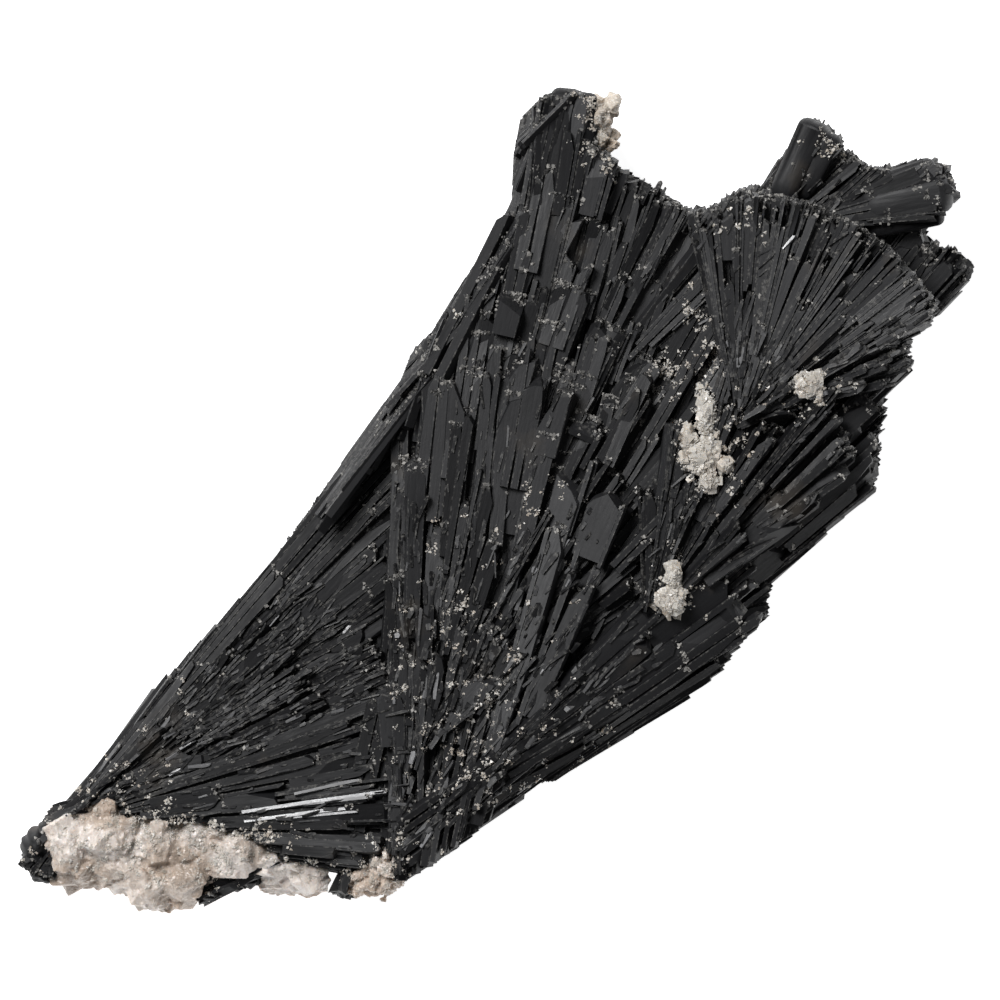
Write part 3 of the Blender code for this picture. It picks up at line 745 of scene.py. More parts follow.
# %% Piece: prisms, as x, y of root and of tip, width, height of the top, thickness, bank in degrees
PRISMS = [
    (2.9, 25.5, 3.7, 34.7, 2.2, 14.0, 5.0, -20), (4.7, 26.0, 5.7, 36.0, 2.6, 14.6, 5.0, -4),
    (7.0, 26.4, 7.8, 35.6, 2.1, 14.1, 5.0, 12), (24.0, 25.6, 27.4, 33.2, 2.8, 16.5, 6.0, -10),
    (26.2, 26.2, 29.2, 32.0, 2.4, 16.0, 5.0, 8), (30.6, 26.5, 38.2, 29.0, 3.4, 16.3, 7.0, -16),
    (31.0, 25.2, 39.4, 27.0, 3.6, 16.6, 8.0, 2), (31.8, 23.4, 38.8, 24.9, 2.4, 15.7, 6.0, 16),
]


def prism_rows(dice):
    x, y, far_x, far_y, wide, top, thick, bank = np.array(PRISMS).T
    length = np.hypot(far_x - x, far_y - y)
    return {"x": x, "y": y, "z": top - 0.5, "heading": np.arctan2(far_y - y, far_x - x),
            "pitch": np.full(len(x), 0.03), "bank": np.radians(bank), "length": length,
            "wide_root": wide * 0.95, "wide_tip": wide, "thick": thick, "tone": 0.5 * dice.random(len(x))}


prism_dice = np.random.default_rng(152)
prisms = joined_mesh("prisms", [
    (points, triangles, {**values, "from_end": values["from_end"] + 1.0})
    for points, triangles, values in blade_copies(prism_rows(prism_dice), prism_dice, [prism_template()])
], BLADE_ATTRIBUTES)
prisms.data.shade_smooth()

# %% Piece: toe lump, as x, y, z and size along x, y, z
TOE_LUMP = [(-40.7, -30.4, 6.4, 2.9, 3.4, 4.6), (-40.2, -32.4, 5.6, 2.6, 2.6, 3.8),
            (-39.6, -28.9, 7.4, 2.0, 2.2, 3.4)]


def pebble_template():
    """A ball of diameter 1 with a slightly uneven skin."""
    bm = bmesh.new()
    bmesh.ops.create_icosphere(bm, subdivisions=4, radius=0.5)
    points = np.array([v.co[:] for v in bm.verts])
    triangles = np.array([[v.index for v in f.verts] for f in bm.faces])
    bm.free()
    uneven = drift(np.random.default_rng(155))
    swell = 1 + 0.1 * uneven(points[:, 0] * 3, points[:, 1] * 3 + points[:, 2] * 2)
    return points * swell[:, None], triangles


pebble, pebble_faces = pebble_template()
toe_lump = joined_mesh("toe_lump", [
    (np.array(row[:3]) + pebble * row[3:], pebble_faces,
     {key: np.full(len(pebble), value)
      for key, value in (("from_end", 9.0), ("across", 0.0), ("rim", 3.0), ("tone", 0.3))})
    for row in TOE_LUMP
], BLADE_ATTRIBUTES)
toe_lump.data.shade_smooth()

# %% [markdown]
# ## The feet
# Four wide blades below lie flat on the table and carry the specimen.

# %% Piece: feet
FEET = [(TOE, 17, 9, 27, 5.0), (HEEL, 47, 10, 30, 6.0), (HEEL, 76, 30, 52, 5.5), (HEEL, 52, 44, 66, 6.5)]


def foot_rows(dice):
    """Columns for the strips of each foot, all with their undersides at height 0."""
    strips = []
    for apex, azimuth, start, end, wide in FEET:
        heading = math.radians(azimuth)
        number = 6
        for i in range(number):
            offset = ((i + 0.5) / number - 0.5) * wide
            near, far = start + dice.uniform(0, 3), end - dice.uniform(0, 3)
            strips.append((apex[0] + near * math.cos(heading) - offset * math.sin(heading),
                           apex[1] + near * math.sin(heading) + offset * math.cos(heading), 0.0, heading,
                           0.0, math.pi, far - near, wide / number * 0.8, wide / number * 1.2, 4.0,
                           dice.random()))
    keys = ("x", "y", "z", "heading", "pitch", "bank", "length", "wide_root", "wide_tip", "thick", "tone")
    return dict(zip(keys, np.array(strips).T))


foot_dice = np.random.default_rng(151)
foot_blades = joined_mesh("foot_blades", blade_copies(foot_rows(foot_dice), foot_dice),
                          BLADE_ATTRIBUTES)

# %% [markdown]
# ## The pale minerals
# Along the toe's lower edge the fans grew from feldspar and quartz: cream and pinkish lumps
# that break into small blocky grains. A smooth lump would look like plaster, so each mass is
# heaped up from cleaved blocks of 0.4 to 3.4 mm. A voxel remesh then welds them into one skin,
# because the real grains are grown together, and tiny random moves make that skin crumbly.
# The small crusts of quartz on the fans are loose grains instead, which keeps them sharp.

# %% Grains
def grain_template(cuts):
    """A small cleaved block: a cube with some corners cut off."""
    bm = bmesh.new()
    bmesh.ops.create_cube(bm, size=1.0)
    for point, normal in cuts:
        cut_off(bm, point, normal)
    bmesh.ops.triangulate(bm, faces=bm.faces)
    bmesh.ops.recalc_face_normals(bm, faces=bm.faces)
    points = np.array([v.co[:] for v in bm.verts])
    triangles = np.array([[v.index for v in f.verts] for f in bm.faces])
    bm.free()
    return points, triangles


GRAINS = [
    grain_template([((0.3, 0.3, 0.3), (1, 1, 1)), ((-0.3, -0.2, 0.3), (-1, -0.8, 0.6))]),
    grain_template([((0.35, 0.2, 0), (1, 0.7, 0.1)), ((0, -0.3, 0.3), (0.2, -1, 1))]),
    grain_template([((0.2, 0.2, 0.35), (0.3, 0.5, 1)), ((-0.35, 0.2, -0.2), (-1, 0.5, -0.6))]),
]


def wedge_template():
    """A grain of grit, which is too small to need more than a few faces."""
    bm = bmesh.new()
    bmesh.ops.create_cone(bm, cap_ends=True, segments=4, radius1=0.6, radius2=0.25, depth=0.8)
    bmesh.ops.triangulate(bm, faces=bm.faces)
    points = np.array([v.co[:] for v in bm.verts])
    triangles = np.array([[v.index for v in f.verts] for f in bm.faces])
    bm.free()
    return points, triangles


WEDGE = wedge_template()


def turned_copies(template, centres, sizes, dice, tumble=1.0):
    """Copies of a grain. At tumble 1 each is turned any way, near 0 they all lie level."""
    points, triangles = template
    quats = dice.normal(size=(len(centres), 4)) * (1.0, tumble, tumble, 1.0)
    w, x, y, z = (quats / np.linalg.norm(quats, axis=1, keepdims=True)).T
    turn = np.array([
        [1 - 2 * (y * y + z * z), 2 * (x * y - z * w), 2 * (x * z + y * w)],
        [2 * (x * y + z * w), 1 - 2 * (x * x + z * z), 2 * (y * z - x * w)],
        [2 * (x * z - y * w), 2 * (y * z + x * w), 1 - 2 * (x * x + y * y)],
    ]).transpose(2, 0, 1)
    placed = np.einsum("nij,npj->npi", turn, points[None] * sizes[:, None, :]) + centres[:, None, :]
    faces = triangles[None] + np.arange(len(centres))[:, None, None] * len(points)
    return placed.reshape(-1, 3), faces.reshape(-1, 3)


def tint_at(points, lumps, blur):
    """The tint at each point, blended from the lumps around it."""
    lumps = np.array(lumps)
    near = np.exp(-((points[:, None, :2] - lumps[:, :2])**2).sum(axis=2) / blur) + 1e-9
    return (near * lumps[:, 6]).sum(axis=1) / near.sum(axis=1)


def welded(name, parts, lumps, voxel, crumble, dice):
    """One mass from overlapping blocks: a voxel remesh welds them, and small moves crumble its skin."""
    offsets = np.cumsum([0] + [len(points) for points, faces in parts])
    mesh = bpy.data.meshes.new(name)
    mesh.from_pydata(np.concatenate([p for p, f in parts]).tolist(), [],
                     np.concatenate([f + start for (p, f), start in zip(parts, offsets)]).tolist())
    made = bpy.data.objects.new(name, mesh)
    bpy.context.scene.collection.objects.link(made)
    weld = made.modifiers.new("weld", "REMESH")
    weld.mode = "VOXEL"
    weld.voxel_size = voxel
    skin = made.evaluated_get(bpy.context.evaluated_depsgraph_get()).to_mesh()
    bm = bmesh.new()
    bm.from_mesh(skin)
    bmesh.ops.triangulate(bm, faces=bm.faces)
    made.modifiers.clear()
    moves = dice.normal(0, crumble, len(bm.verts))
    for corner, move in zip(bm.verts, moves):
        corner.co += corner.normal * move
    places = np.array([v.co[:] for v in bm.verts])
    for corner, place in zip(bm.verts, on_sheet(places)):
        corner.co = place
    bm.to_mesh(mesh)
    bm.free()
    layer = mesh.attributes.new("tone", "FLOAT", "POINT")
    tint = tint_at(places, lumps, 1.6) + dice.normal(0, 0.08, len(places))
    layer.data.foreach_set("value", np.clip(tint, 0, 1).astype(np.float32))
    print(f"{name}: {len(mesh.polygons)} triangles")
    return made


# %% Piece: matrix band, from batches of (count, least and most size, depth, tumble)
def band_piece(seed, batches):
    """The band: level cleaved blocks through its whole depth, with smaller ones on them."""
    dice = np.random.default_rng(seed)
    swell = drift(dice)
    parts = []
    for count, sizes, depth, tumble in batches:
        x = dice.uniform(BAND[:, 0].min(), BAND[:, 0].max(), count * 4)
        y = dice.uniform(BAND[:, 1].min(), BAND[:, 1].max(), count * 4)
        size = sizes[0] * (sizes[1] / sizes[0]) ** dice.random(count * 4)
        inside = ((room_ahead(x, y, np.zeros(count * 4), BAND) > 0)
                  & (edge_distance(x, y, BAND) > size * 0.42))
        chosen = np.flatnonzero(inside)[:count]
        x, y, size = x[chosen], y[chosen], size[chosen]
        top = 5.0 + 5.2 * (1 - np.exp(-edge_distance(x, y, OUTLINE) / 1.4)) + 0.9 * swell(x / 2.4, y / 2.4)
        z = top - size * 0.4 - depth * dice.random(len(x)) * (top - 3.2)
        shape = size[:, None] * dice.uniform(0.6, 1.3, (len(x), 3))
        which = dice.integers(0, len(GRAINS), len(x))
        for number, template in enumerate(GRAINS):
            part = which == number
            parts.append(turned_copies(template, np.stack((x, y, z), axis=1)[part], shape[part], dice,
                                       tumble))
    return welded("matrix_band", parts, PALE_LUMPS["matrix_toe"], 0.16, 0.015, dice)


pale_pieces = {
    "matrix_band": band_piece(161,
                              [(900, (1.4, 3.4), 1.0, 0.25), (700, (0.8, 2.0), 0.12, 0.5),
                               (1500, (0.35, 0.9), 0.0, 1.0)]),
}

# %% Pieces: crusts, as node, grains to a square millimetre, least and most size, seed
CRUSTS = {
    "heel_lump": ("matrix_heel", 8.0, (0.4, 1.3), 162),
    "finger_quartz": ("quartz_tip", 16.0, (0.45, 1.2), 163),
}


def crust_piece(name, node, per_square, size, seed):
    """A crust of grains in and around its lumps, thinner towards their edges."""
    dice = np.random.default_rng(seed)
    parts = []
    for cx, cy, cz, rx, ry, rz, _ in PALE_LUMPS[node]:
        count = int(per_square * 6.0 * rx * ry + 20)
        out = dice.normal(size=(count, 3))
        out *= (dice.random(count) ** 0.4 / np.linalg.norm(out, axis=1))[:, None]
        sizes = size[0] * (size[1] / size[0]) ** dice.random((count, 1))
        sizes = sizes * dice.uniform(0.6, 1.3, (count, 3))
        centres = np.array((cx, cy, cz - 0.1)) + out * (rx * 1.15, ry * 1.15, rz * 0.9)
        inside = edge_distance(centres[:, 0], centres[:, 1], OUTLINE) > sizes.max(axis=1) * 0.45
        for number, template in enumerate(GRAINS):
            part = (np.arange(count) % len(GRAINS) == number) & inside
            parts.append(turned_copies(template, centres[part], sizes[part], dice))
    return welded(name, parts, PALE_LUMPS[node], 0.13, 0.025, dice)


for name, row in CRUSTS.items():
    pale_pieces[name] = crust_piece(name, *row)

# %% [markdown]
# ## Litter and grit
# Kyanite is brittle: splinters of it lie on the fans, broken ends are crushed to crumbs, and
# grains of quartz are stuck between the blades. They are dropped from above: a ray cast down
# from each place finds the height of what is already there. A few broad blades, which stand
# out on the real specimen and so are listed one by one, are laid on the fans in the same way.

# %% Dropping things on the fans
kyanite_pieces = [toe_blades, toe_skin_blades, heel_blades, heel_skin_blades, crest_blades, back_blades,
                  shoulder_blades, foot_blades, prisms, toe_lump]
graph = bpy.context.evaluated_depsgraph_get()
surfaces = [BVHTree.FromObject(piece, graph) for piece in kyanite_pieces]


def height_under(x, y):
    """The height in mm of the topmost blade at each sheet point, or -1 where there is none."""
    starts = on_sheet(np.stack((x, y, np.full(len(x), 40.0)), axis=1))
    heights = np.full(len(x), -1.0)
    for i, start in enumerate(starts):
        hits = [tree.ray_cast(start, (0, 0, -1))[0] for tree in surfaces]
        heights[i] = max([hit.z / MM for hit in hits if hit is not None], default=-1.0)
    return heights


# %% Broad plates, as x, y of root and of tip, width, number of strips, bank in degrees and tone
BROAD = [
    (-1.2, -3.9, 0.2, 13.6, 3.2, 2, 1, 0.5), (-6.6, -1.8, -5.2, 11.4, 2.4, 2, -4, 0.6),
    (-4.1, 1.8, -1.8, 16.6, 2.4, 3, 2, 0.7), (1.2, 1.0, 4.2, 16.2, 2.6, 3, 3, 0.45),
    (4.4, 13.4, 7.2, 21.9, 2.6, 2, -3, 0.6), (7.0, 16.0, 9.4, 24.9, 2.2, 2, 4, 0.55),
    (-9.0, -8.0, -8.4, 3.4, 2.0, 2, -6, 0.4), (2.2, 20.0, 4.2, 29.6, 2.4, 2, -6, 0.5),
    (-3.4, 9.4, -0.6, 20.4, 1.8, 1, 4, 0.65), (-30.6, -26.9, -24.2, -25.9, 2.1, 1, 4, 0.2),
    (-12.9, -28.9, -10.3, -16.8, 2.4, 2, -5, 0.2), (-33.0, -24.6, -25.4, -22.6, 1.4, 1, -4, 0.25),
    # The thin rows of tone 0.97 to 1 are the bright streaks on the toe. They are banked towards the light,
    # and their tone also paints them lighter as a glint.
    (-24.5, -24.2, -14.6, -21.2, 1.6, 3, -6, 0.5), (-22.6, -27.3, -9.9, -25.4, 0.42, 1, -16, 1.0),
    (-20.8, -27.0, -11.0, -25.9, 0.34, 1, -12, 0.98), (-22.4, -28.1, -13.4, -26.9, 0.4, 1, -14, 1.0),
    (-18.0, -25.7, -12.2, -24.4, 0.36, 1, -15, 0.97), (-19.6, -27.9, -12.4, -27.2, 0.3, 1, -13, 0.99),
    (10.0, -6.0, 17.4, 1.6, 1.4, 2, 5, 0.5), (9.4, 3.0, 13.0, 11.4, 1.3, 1, -5, 0.5),
    (19.0, 8.6, 22.0, 18.4, 1.6, 4, -3, 0.75), (22.6, 9.6, 27.0, 18.0, 1.6, 4, 3, 0.7),
    (24.4, 8.4, 31.6, 15.4, 1.4, 4, 4, 0.65), (4.6, -21.0, 17.4, -12.0, 2.2, 2, 20, 0.3),
    (11.0, -18.0, 22.0, -10.4, 1.8, 2, 22, 0.25), (-6.0, 10.8, 1.4, 25.6, 2.4, 2, -34, 0.2),
    (-8.3, -31.3, 0.0, -25.2, 2.2, 2, 34, 0.25), (-1.0, -25.8, 8.2, -20.9, 2.2, 2, 34, 0.2),
    (-8.4, -28.9, 1.2, -22.2, 2.2, 3, 22, 0.3), (0.4, -23.4, 11.5, -16.8, 2.4, 3, 24, 0.15),
]


def broad_rows(dice):
    """Columns for the strips of the broad plates, which lie on what is under them."""
    strips = []
    for x, y, far_x, far_y, wide, number, bank, tone in BROAD:
        heading, length = math.atan2(far_y - y, far_x - x), math.hypot(far_x - x, far_y - y)
        along = np.linspace(0.1, 0.9, 9) * length
        heights = height_under(x + along * math.cos(heading), y + along * math.sin(heading))
        slope, level = np.polyfit(along, heights, 1)
        slope = min(max(slope, -0.12), 0.12)
        level = np.median(heights - slope * along) + 0.25
        for i in range(number):
            offset = ((i + 0.5) / number - 0.5) * wide
            cut = dice.uniform(0, 0.12) * length if number > 1 else 0.0
            strips.append((x - offset * math.sin(heading), y + offset * math.cos(heading),
                           level + offset * math.sin(math.radians(bank)) + dice.normal(0, 0.05), heading,
                           math.atan(slope), math.radians(bank), length - cut, wide / number * 0.8 - 0.04,
                           wide / number - 0.04, 1.1, tone))
    keys = ("x", "y", "z", "heading", "pitch", "bank", "length", "wide_root", "wide_tip", "thick", "tone")
    return dict(zip(keys, np.array(strips).T))


broad_dice = np.random.default_rng(153)
broad = broad_rows(broad_dice)
broad_plates = joined_mesh("broad_plates", blade_copies(broad, broad_dice), BLADE_ATTRIBUTES)
kyanite_pieces.append(broad_plates)
surfaces.append(BVHTree.FromObject(broad_plates, bpy.context.evaluated_depsgraph_get()))


# %% Litter
def litter(seed, fan_name, count, azimuths=None, radii=(0, 100), lengths=(0.8, 3.5), widths=(0.25, 0.7)):
    """Columns of splinters that lie on a fan, roughly along its blades."""
    dice = np.random.default_rng(seed)
    fan = FANS[fan_name]
    azimuth = dice.uniform(*(azimuths or fan["azimuths"]), count)
    reach = np.minimum(reach_of(fan, azimuth), radii[1])
    radius = np.sqrt(dice.random(count) * np.maximum(reach**2 - radii[0]**2, 0) + radii[0]**2)
    x = fan["apex"][0] + radius * np.cos(np.radians(azimuth))
    y = fan["apex"][1] + radius * np.sin(np.radians(azimuth))
    heading = np.radians(azimuth + dice.normal(0, 9, count))
    length = dice.uniform(*lengths, count)
    inside = (edge_distance(x, y, OUTLINE) > 0.8) & (room_ahead(x, y, heading) > length)
    inside &= ~is_pale(x, y) & ~is_pale(x + length * np.cos(heading), y + length * np.sin(heading))
    x, y, heading, length = x[inside], y[inside], heading[inside], length[inside]
    z = height_under(x + length / 2 * np.cos(heading), y + length / 2 * np.sin(heading))
    wide = dice.uniform(*widths, len(x))
    rows = {"x": x, "y": y, "z": z + 0.12, "heading": heading,
            "pitch": np.radians(dice.normal(0, 4, len(x))), "bank": np.radians(dice.normal(0, 16, len(x))),
            "length": length, "wide_root": wide * 0.6, "wide_tip": wide,
            "thick": dice.uniform(0.25, 0.5, len(x)), "tone": dice.random(len(x))}
    return {key: column[z > 0] for key, column in rows.items()}


# %% Piece: splinters
splinters = stacked(
    litter(171, "toe", 560, azimuths=(22, 47), radii=(0, 30), lengths=(0.5, 2.2), widths=(0.12, 0.4)),
    litter(172, "toe", 120, azimuths=(-6, 20), lengths=(0.5, 2.2), widths=(0.12, 0.4)),
    litter(174, "crest", 120, lengths=(0.5, 2.2), widths=(0.12, 0.4)),
    litter(175, "heel", 420, radii=(3, 32), lengths=(0.5, 2.6), widths=(0.15, 0.6)),
    litter(176, "back", 80, radii=(14, 100), lengths=(0.5, 2.2), widths=(0.12, 0.4)),
    litter(177, "knee", 120, lengths=(0.5, 2.2), widths=(0.12, 0.4)),
    litter(178, "shoulder", 150, azimuths=(20, 100), radii=(0, 7), lengths=(0.6, 2.4), widths=(0.2, 0.6)),
    litter(179, "shoulder", 90, azimuths=(18, 34), radii=(2, 18), lengths=(0.6, 2.4), widths=(0.2, 0.6)),
)
splinter_blades = joined_mesh("splinters", blade_copies(splinters, np.random.default_rng(198)),
                              BLADE_ATTRIBUTES)
kyanite_pieces.append(splinter_blades)

# %% Pieces: flat crusts, as node, grains to a square millimetre, pile height, seed
FLAT_CRUSTS = {
    "patch_quartz": ("quartz_patch", 150.0, 1.1, 164),
    "knob_quartz": ("quartz_knob", 150.0, 1.2, 165),
    "shoulder_quartz": ("quartz_shoulder", 130.0, 0.8, 166),
}
PALE_NODES = {"matrix_band": "matrix_toe",
              **{name: row[0] for name, row in {**CRUSTS, **FLAT_CRUSTS}.items()}}


def flat_crust(name, node, per_square, pile, seed):
    """A crust of sugary quartz on the fans: thick in the middle of each lump, scattered at its edges."""
    dice = np.random.default_rng(seed)
    parts = []
    for cx, cy, cz, rx, ry, _, tint in PALE_LUMPS[node]:
        count = int(per_square * rx * ry + 40)
        x, y = cx + dice.normal(0, rx * 0.5, count), cy + dice.normal(0, ry * 0.5, count)
        out = np.hypot((x - cx) / rx, (y - cy) / ry)
        x, y, out = x[out < 1.4], y[out < 1.4], out[out < 1.4]
        z = np.minimum(height_under(x, y), cz + 0.4)
        heap = pile * np.clip(1 - out, 0, 1) ** 0.7 * dice.random(len(x)) ** 0.4
        z = np.where(out < 1.0, np.maximum(z, cz - 0.4), z) + heap - 0.1
        x, y, z = x[z > 10], y[z > 10], z[z > 10]
        size = (0.16 * (0.8 / 0.16) ** dice.random((len(x), 1))) * dice.uniform(0.6, 1.3, (len(x), 3))
        for number, template in enumerate(GRAINS):
            part = np.arange(len(x)) % len(GRAINS) == number
            points, faces = turned_copies(template, np.stack((x, y, z), axis=1)[part], size[part], dice)
            tones = np.clip(tint * 0.5 + dice.normal(0, 0.12, part.sum()), 0, 1)
            parts.append((points, faces, {"tone": np.repeat(tones, len(template[0]))}))
        core, core_faces = turned_copies(GRAINS[1], np.array([[cx, cy, cz - 0.6]]),
                                         np.array([[1.3 * rx, 1.3 * ry, 1.4]]), dice, 0.0)
        parts.append((core, core_faces, {"tone": np.full(len(core), tint * 0.5)}))
    return joined_mesh(name, parts, ("tone",))


for name, row in FLAT_CRUSTS.items():
    pale_pieces[name] = flat_crust(name, *row)

# %% [markdown]
# ### Crumbs and grit
# A broken end shows as a pale grey rim some 0.3 mm wide, made of crumbs of 0.07 to 0.34 mm.
# Quartz grit sticks together in clumps, so its grains are scattered around clump centres.
# Both are used thousands of times, so a grain has only 12 triangles.

# %% Crumbs at the broken ends
surfaces += [BVHTree.FromObject(piece, bpy.context.evaluated_depsgraph_get())
             for piece in pale_pieces.values()]


def end_crumbs(dice, rows, share, each_mm):
    """Places of crumbs: along the broken end of some blades, so many to a millimetre of width."""
    chosen = dice.random(len(rows["x"])) < share
    repeats = np.where(chosen, dice.poisson(rows["wide_tip"] * each_mm + 0.5), 0)
    r = {key: np.repeat(column, repeats) for key, column in rows.items()}
    back = dice.exponential(0.18, len(r["x"]))
    side = dice.uniform(-0.55, 0.55, len(r["x"])) * r["wide_tip"]
    along = (r["length"] - back) * np.cos(r["pitch"])
    z = r["z"] + r["length"] * np.sin(r["pitch"]) - side * np.sin(r["bank"])
    return np.stack((r["x"] + along * np.cos(r["heading"]) - side * np.sin(r["heading"]),
                     r["y"] + along * np.sin(r["heading"]) + side * np.cos(r["heading"]), z), axis=1)


def on_top(places, near=np.inf):
    """The places that lie on the specimen, moved to its surface, if that is nearer than near."""
    x, y, z = places.T
    inside = (room_ahead(x, y, np.zeros(len(x))) > 0) & (edge_distance(x, y, OUTLINE) > 0.3)
    x, y, z = x[inside], y[inside], z[inside]
    under = height_under(x, y)
    keep = (under > 5) & (np.abs(under - z) < near)
    return np.stack((x, y, under), axis=1)[keep]


# %% Piece: dark crumbs
def crumb_piece(seed, skins):
    """Crumbs of kyanite along the broken ends, half sunk in the surface."""
    dice = np.random.default_rng(seed)
    places = np.concatenate([end_crumbs(dice, rows, 0.8, 18.0) for rows in skins])
    places = on_top(places[~is_pale(places[:, 0], places[:, 1])], near=0.5)
    size = 0.07 * (0.34 / 0.07) ** dice.random((len(places), 1))
    points, faces = turned_copies(WEDGE, places, size * dice.uniform(0.6, 1.4, (len(places), 3)), dice)
    # Few crumbs get a light tone: partly the crushed grey, partly painted glints.
    tones = dice.random(len(places)) ** 1.6
    return joined_mesh("kyanite_crumbs", [(points, faces, {"tone": np.repeat(tones, len(WEDGE[0]))})],
                       ("tone",))


skins = (toe_skin, heel_skin, crest, back, shoulder, broad)
crumbs = crumb_piece(182, skins)

# %% Piece: quartz grit, as x, y, spread along x and y, and count
GRIT = [
    (-30.6, -17.5, 4.5, 5.0, 260), (-34.3, -25.4, 1.8, 1.6, 300), (-2.6, -16.6, 3.2, 6.0, 900),
    (-8.6, -21.9, 0.6, 8.0, 200), (-4.4, -9.4, 0.7, 0.7, 120), (-1.2, -17.4, 0.8, 1.2, 160),
    (-4.0, -21.5, 0.8, 1.4, 120), (-6.2, -3.4, 0.5, 1.6, 60), (3.1, 0.4, 1.4, 1.0, 120),
    (14.9, -5.3, 1.0, 2.4, 160), (17.1, 8.7, 1.6, 3.4, 360), (21.0, 24.5, 2.0, 1.6, 120),
    (9.6, 29.8, 1.0, 1.2, 160), (6.0, -21.9, 5.0, 3.0, 120), (0.0, -25.4, 4.0, 2.5, 120),
    (14.0, 11.4, 0.7, 0.5, 140), (18.4, 12.9, 0.5, 0.8, 140), (16.7, 15.8, 0.5, 0.9, 140),
    (29.0, 30.1, 0.6, 0.5, 90), (28.0, 31.4, 0.8, 0.6, 90), (17.9, 7.0, 0.8, 2.4, 300),
    (17.8, 3.0, 1.8, 2.0, 260), (14.9, -7.6, 1.2, 1.6, 160), (26.8, 10.1, 1.3, 1.0, 160),
    (-34.0, -28.2, 3.0, 0.6, 260), (-28.0, -28.5, 3.0, 0.5, 320), (-22.6, -29.4, 2.4, 0.5, 260),
    (-18.0, -32.0, 2.4, 0.5, 160), (-30.0, -31.0, 6.0, 1.8, 2000), (-10.8, -32.4, 1.6, 1.4, 500),
    (9.0, 33.0, 0.9, 1.6, 300), (-33.6, -26.6, 1.2, 1.2, 160), (8.0, 33.4, 0.8, 2.2, 300),
    (-2.0, -18.8, 5.0, 4.5, 500), (20.6, 6.6, 1.6, 1.2, 200), (25.0, 8.6, 3.4, 1.0, 160),
    (0.0, 0.0, 22.0, 22.0, 240),
]


def clumped(dice, cx, cy, sx, sy, count):
    """Places of grains in clumps of about ten, each clump some 0.3 mm across."""
    clumps = np.stack((dice.normal(cx, sx, count // 10 + 1), dice.normal(cy, sy, count // 10 + 1)), axis=1)
    x, y = (clumps[dice.integers(0, len(clumps), count)] + dice.normal(0, 0.16, (count, 2))).T
    return np.stack((x, y, np.zeros(count)), axis=1)


def grit_piece(seed):
    """Grains on the fans, in the clusters of GRIT."""
    dice = np.random.default_rng(seed)
    places = on_top(np.concatenate([clumped(dice, *row) for row in GRIT]))
    size = 0.06 * (0.34 / 0.06) ** dice.random((len(places), 1)) ** 1.4
    points, faces = turned_copies(WEDGE, places, size * dice.uniform(0.6, 1.3, (len(places), 3)), dice)
    tones = 0.4 * dice.random(len(places)) ** 2
    return joined_mesh("quartz_grit", [(points, faces, {"tone": np.repeat(tones, len(WEDGE[0]))})],
                       ("tone",))


quartz_grit = grit_piece(181)

# %% [markdown]
# ## Materials
# One function turns a hex colour to the linear numbers that Blender computes with, and one
# adds a node with its settings and links. Object coordinates are in metres, so a pattern that
# is thought out in millimetres multiplies them by 1000 first.

# %% Material helpers
def colour(hex_code):
    """An sRGB hex colour as linear red, green, blue and alpha."""
    parts = [int(hex_code[i:i + 2], 16) / 255 for i in (1, 3, 5)]
    return (*[c / 12.92 if c <= 0.04045 else ((c + 0.055) / 1.055) ** 2.4 for c in parts], 1.0)


def add(tree, kind, inputs=None, **settings):
    """Adds a node: settings are its properties, and each input is a value or another node's output."""
    made = tree.nodes.new(kind)
    for key, value in settings.items():
        setattr(made, key, value)
    for socket, value in (inputs or {}).items():
        if isinstance(value, bpy.types.NodeSocket):
            tree.links.new(value, made.inputs[socket])
        else:
            made.inputs[socket].default_value = value
    return made


def new_material(name):
    """A material with a Principled shader, and its tree."""
    made = bpy.data.materials.new(name)
    made.use_nodes = True
    return made, made.node_tree, made.node_tree.nodes["Principled BSDF"]


# %% [markdown]
# ### Black kyanite
# The blades are black from graphite in them, with a satin sheen: kyanite's IOR is 1.72, and
# the cleavage face is smooth but finely ridged along the blade. The ridges are 0.1 to 0.3 mm
# apart. Their pattern reads the distance across the blade from the mesh, so it runs along
# every blade wherever that points. Broken ends are painted lighter over 0.7 mm and rubbed edges
# over 0.14 mm, in specks that are partly wear and partly painted glints of small broken facets.
# Each blade's tone sets how grey and how shiny it is. A tone close to 1 stands for a freshly
# cleaved face: it is shinier, and its colour is lightened as a painted glint. Zone by zone the
# tones are also darker as painted shade or lighter as painted light. Here and there lies a
# brown dust.

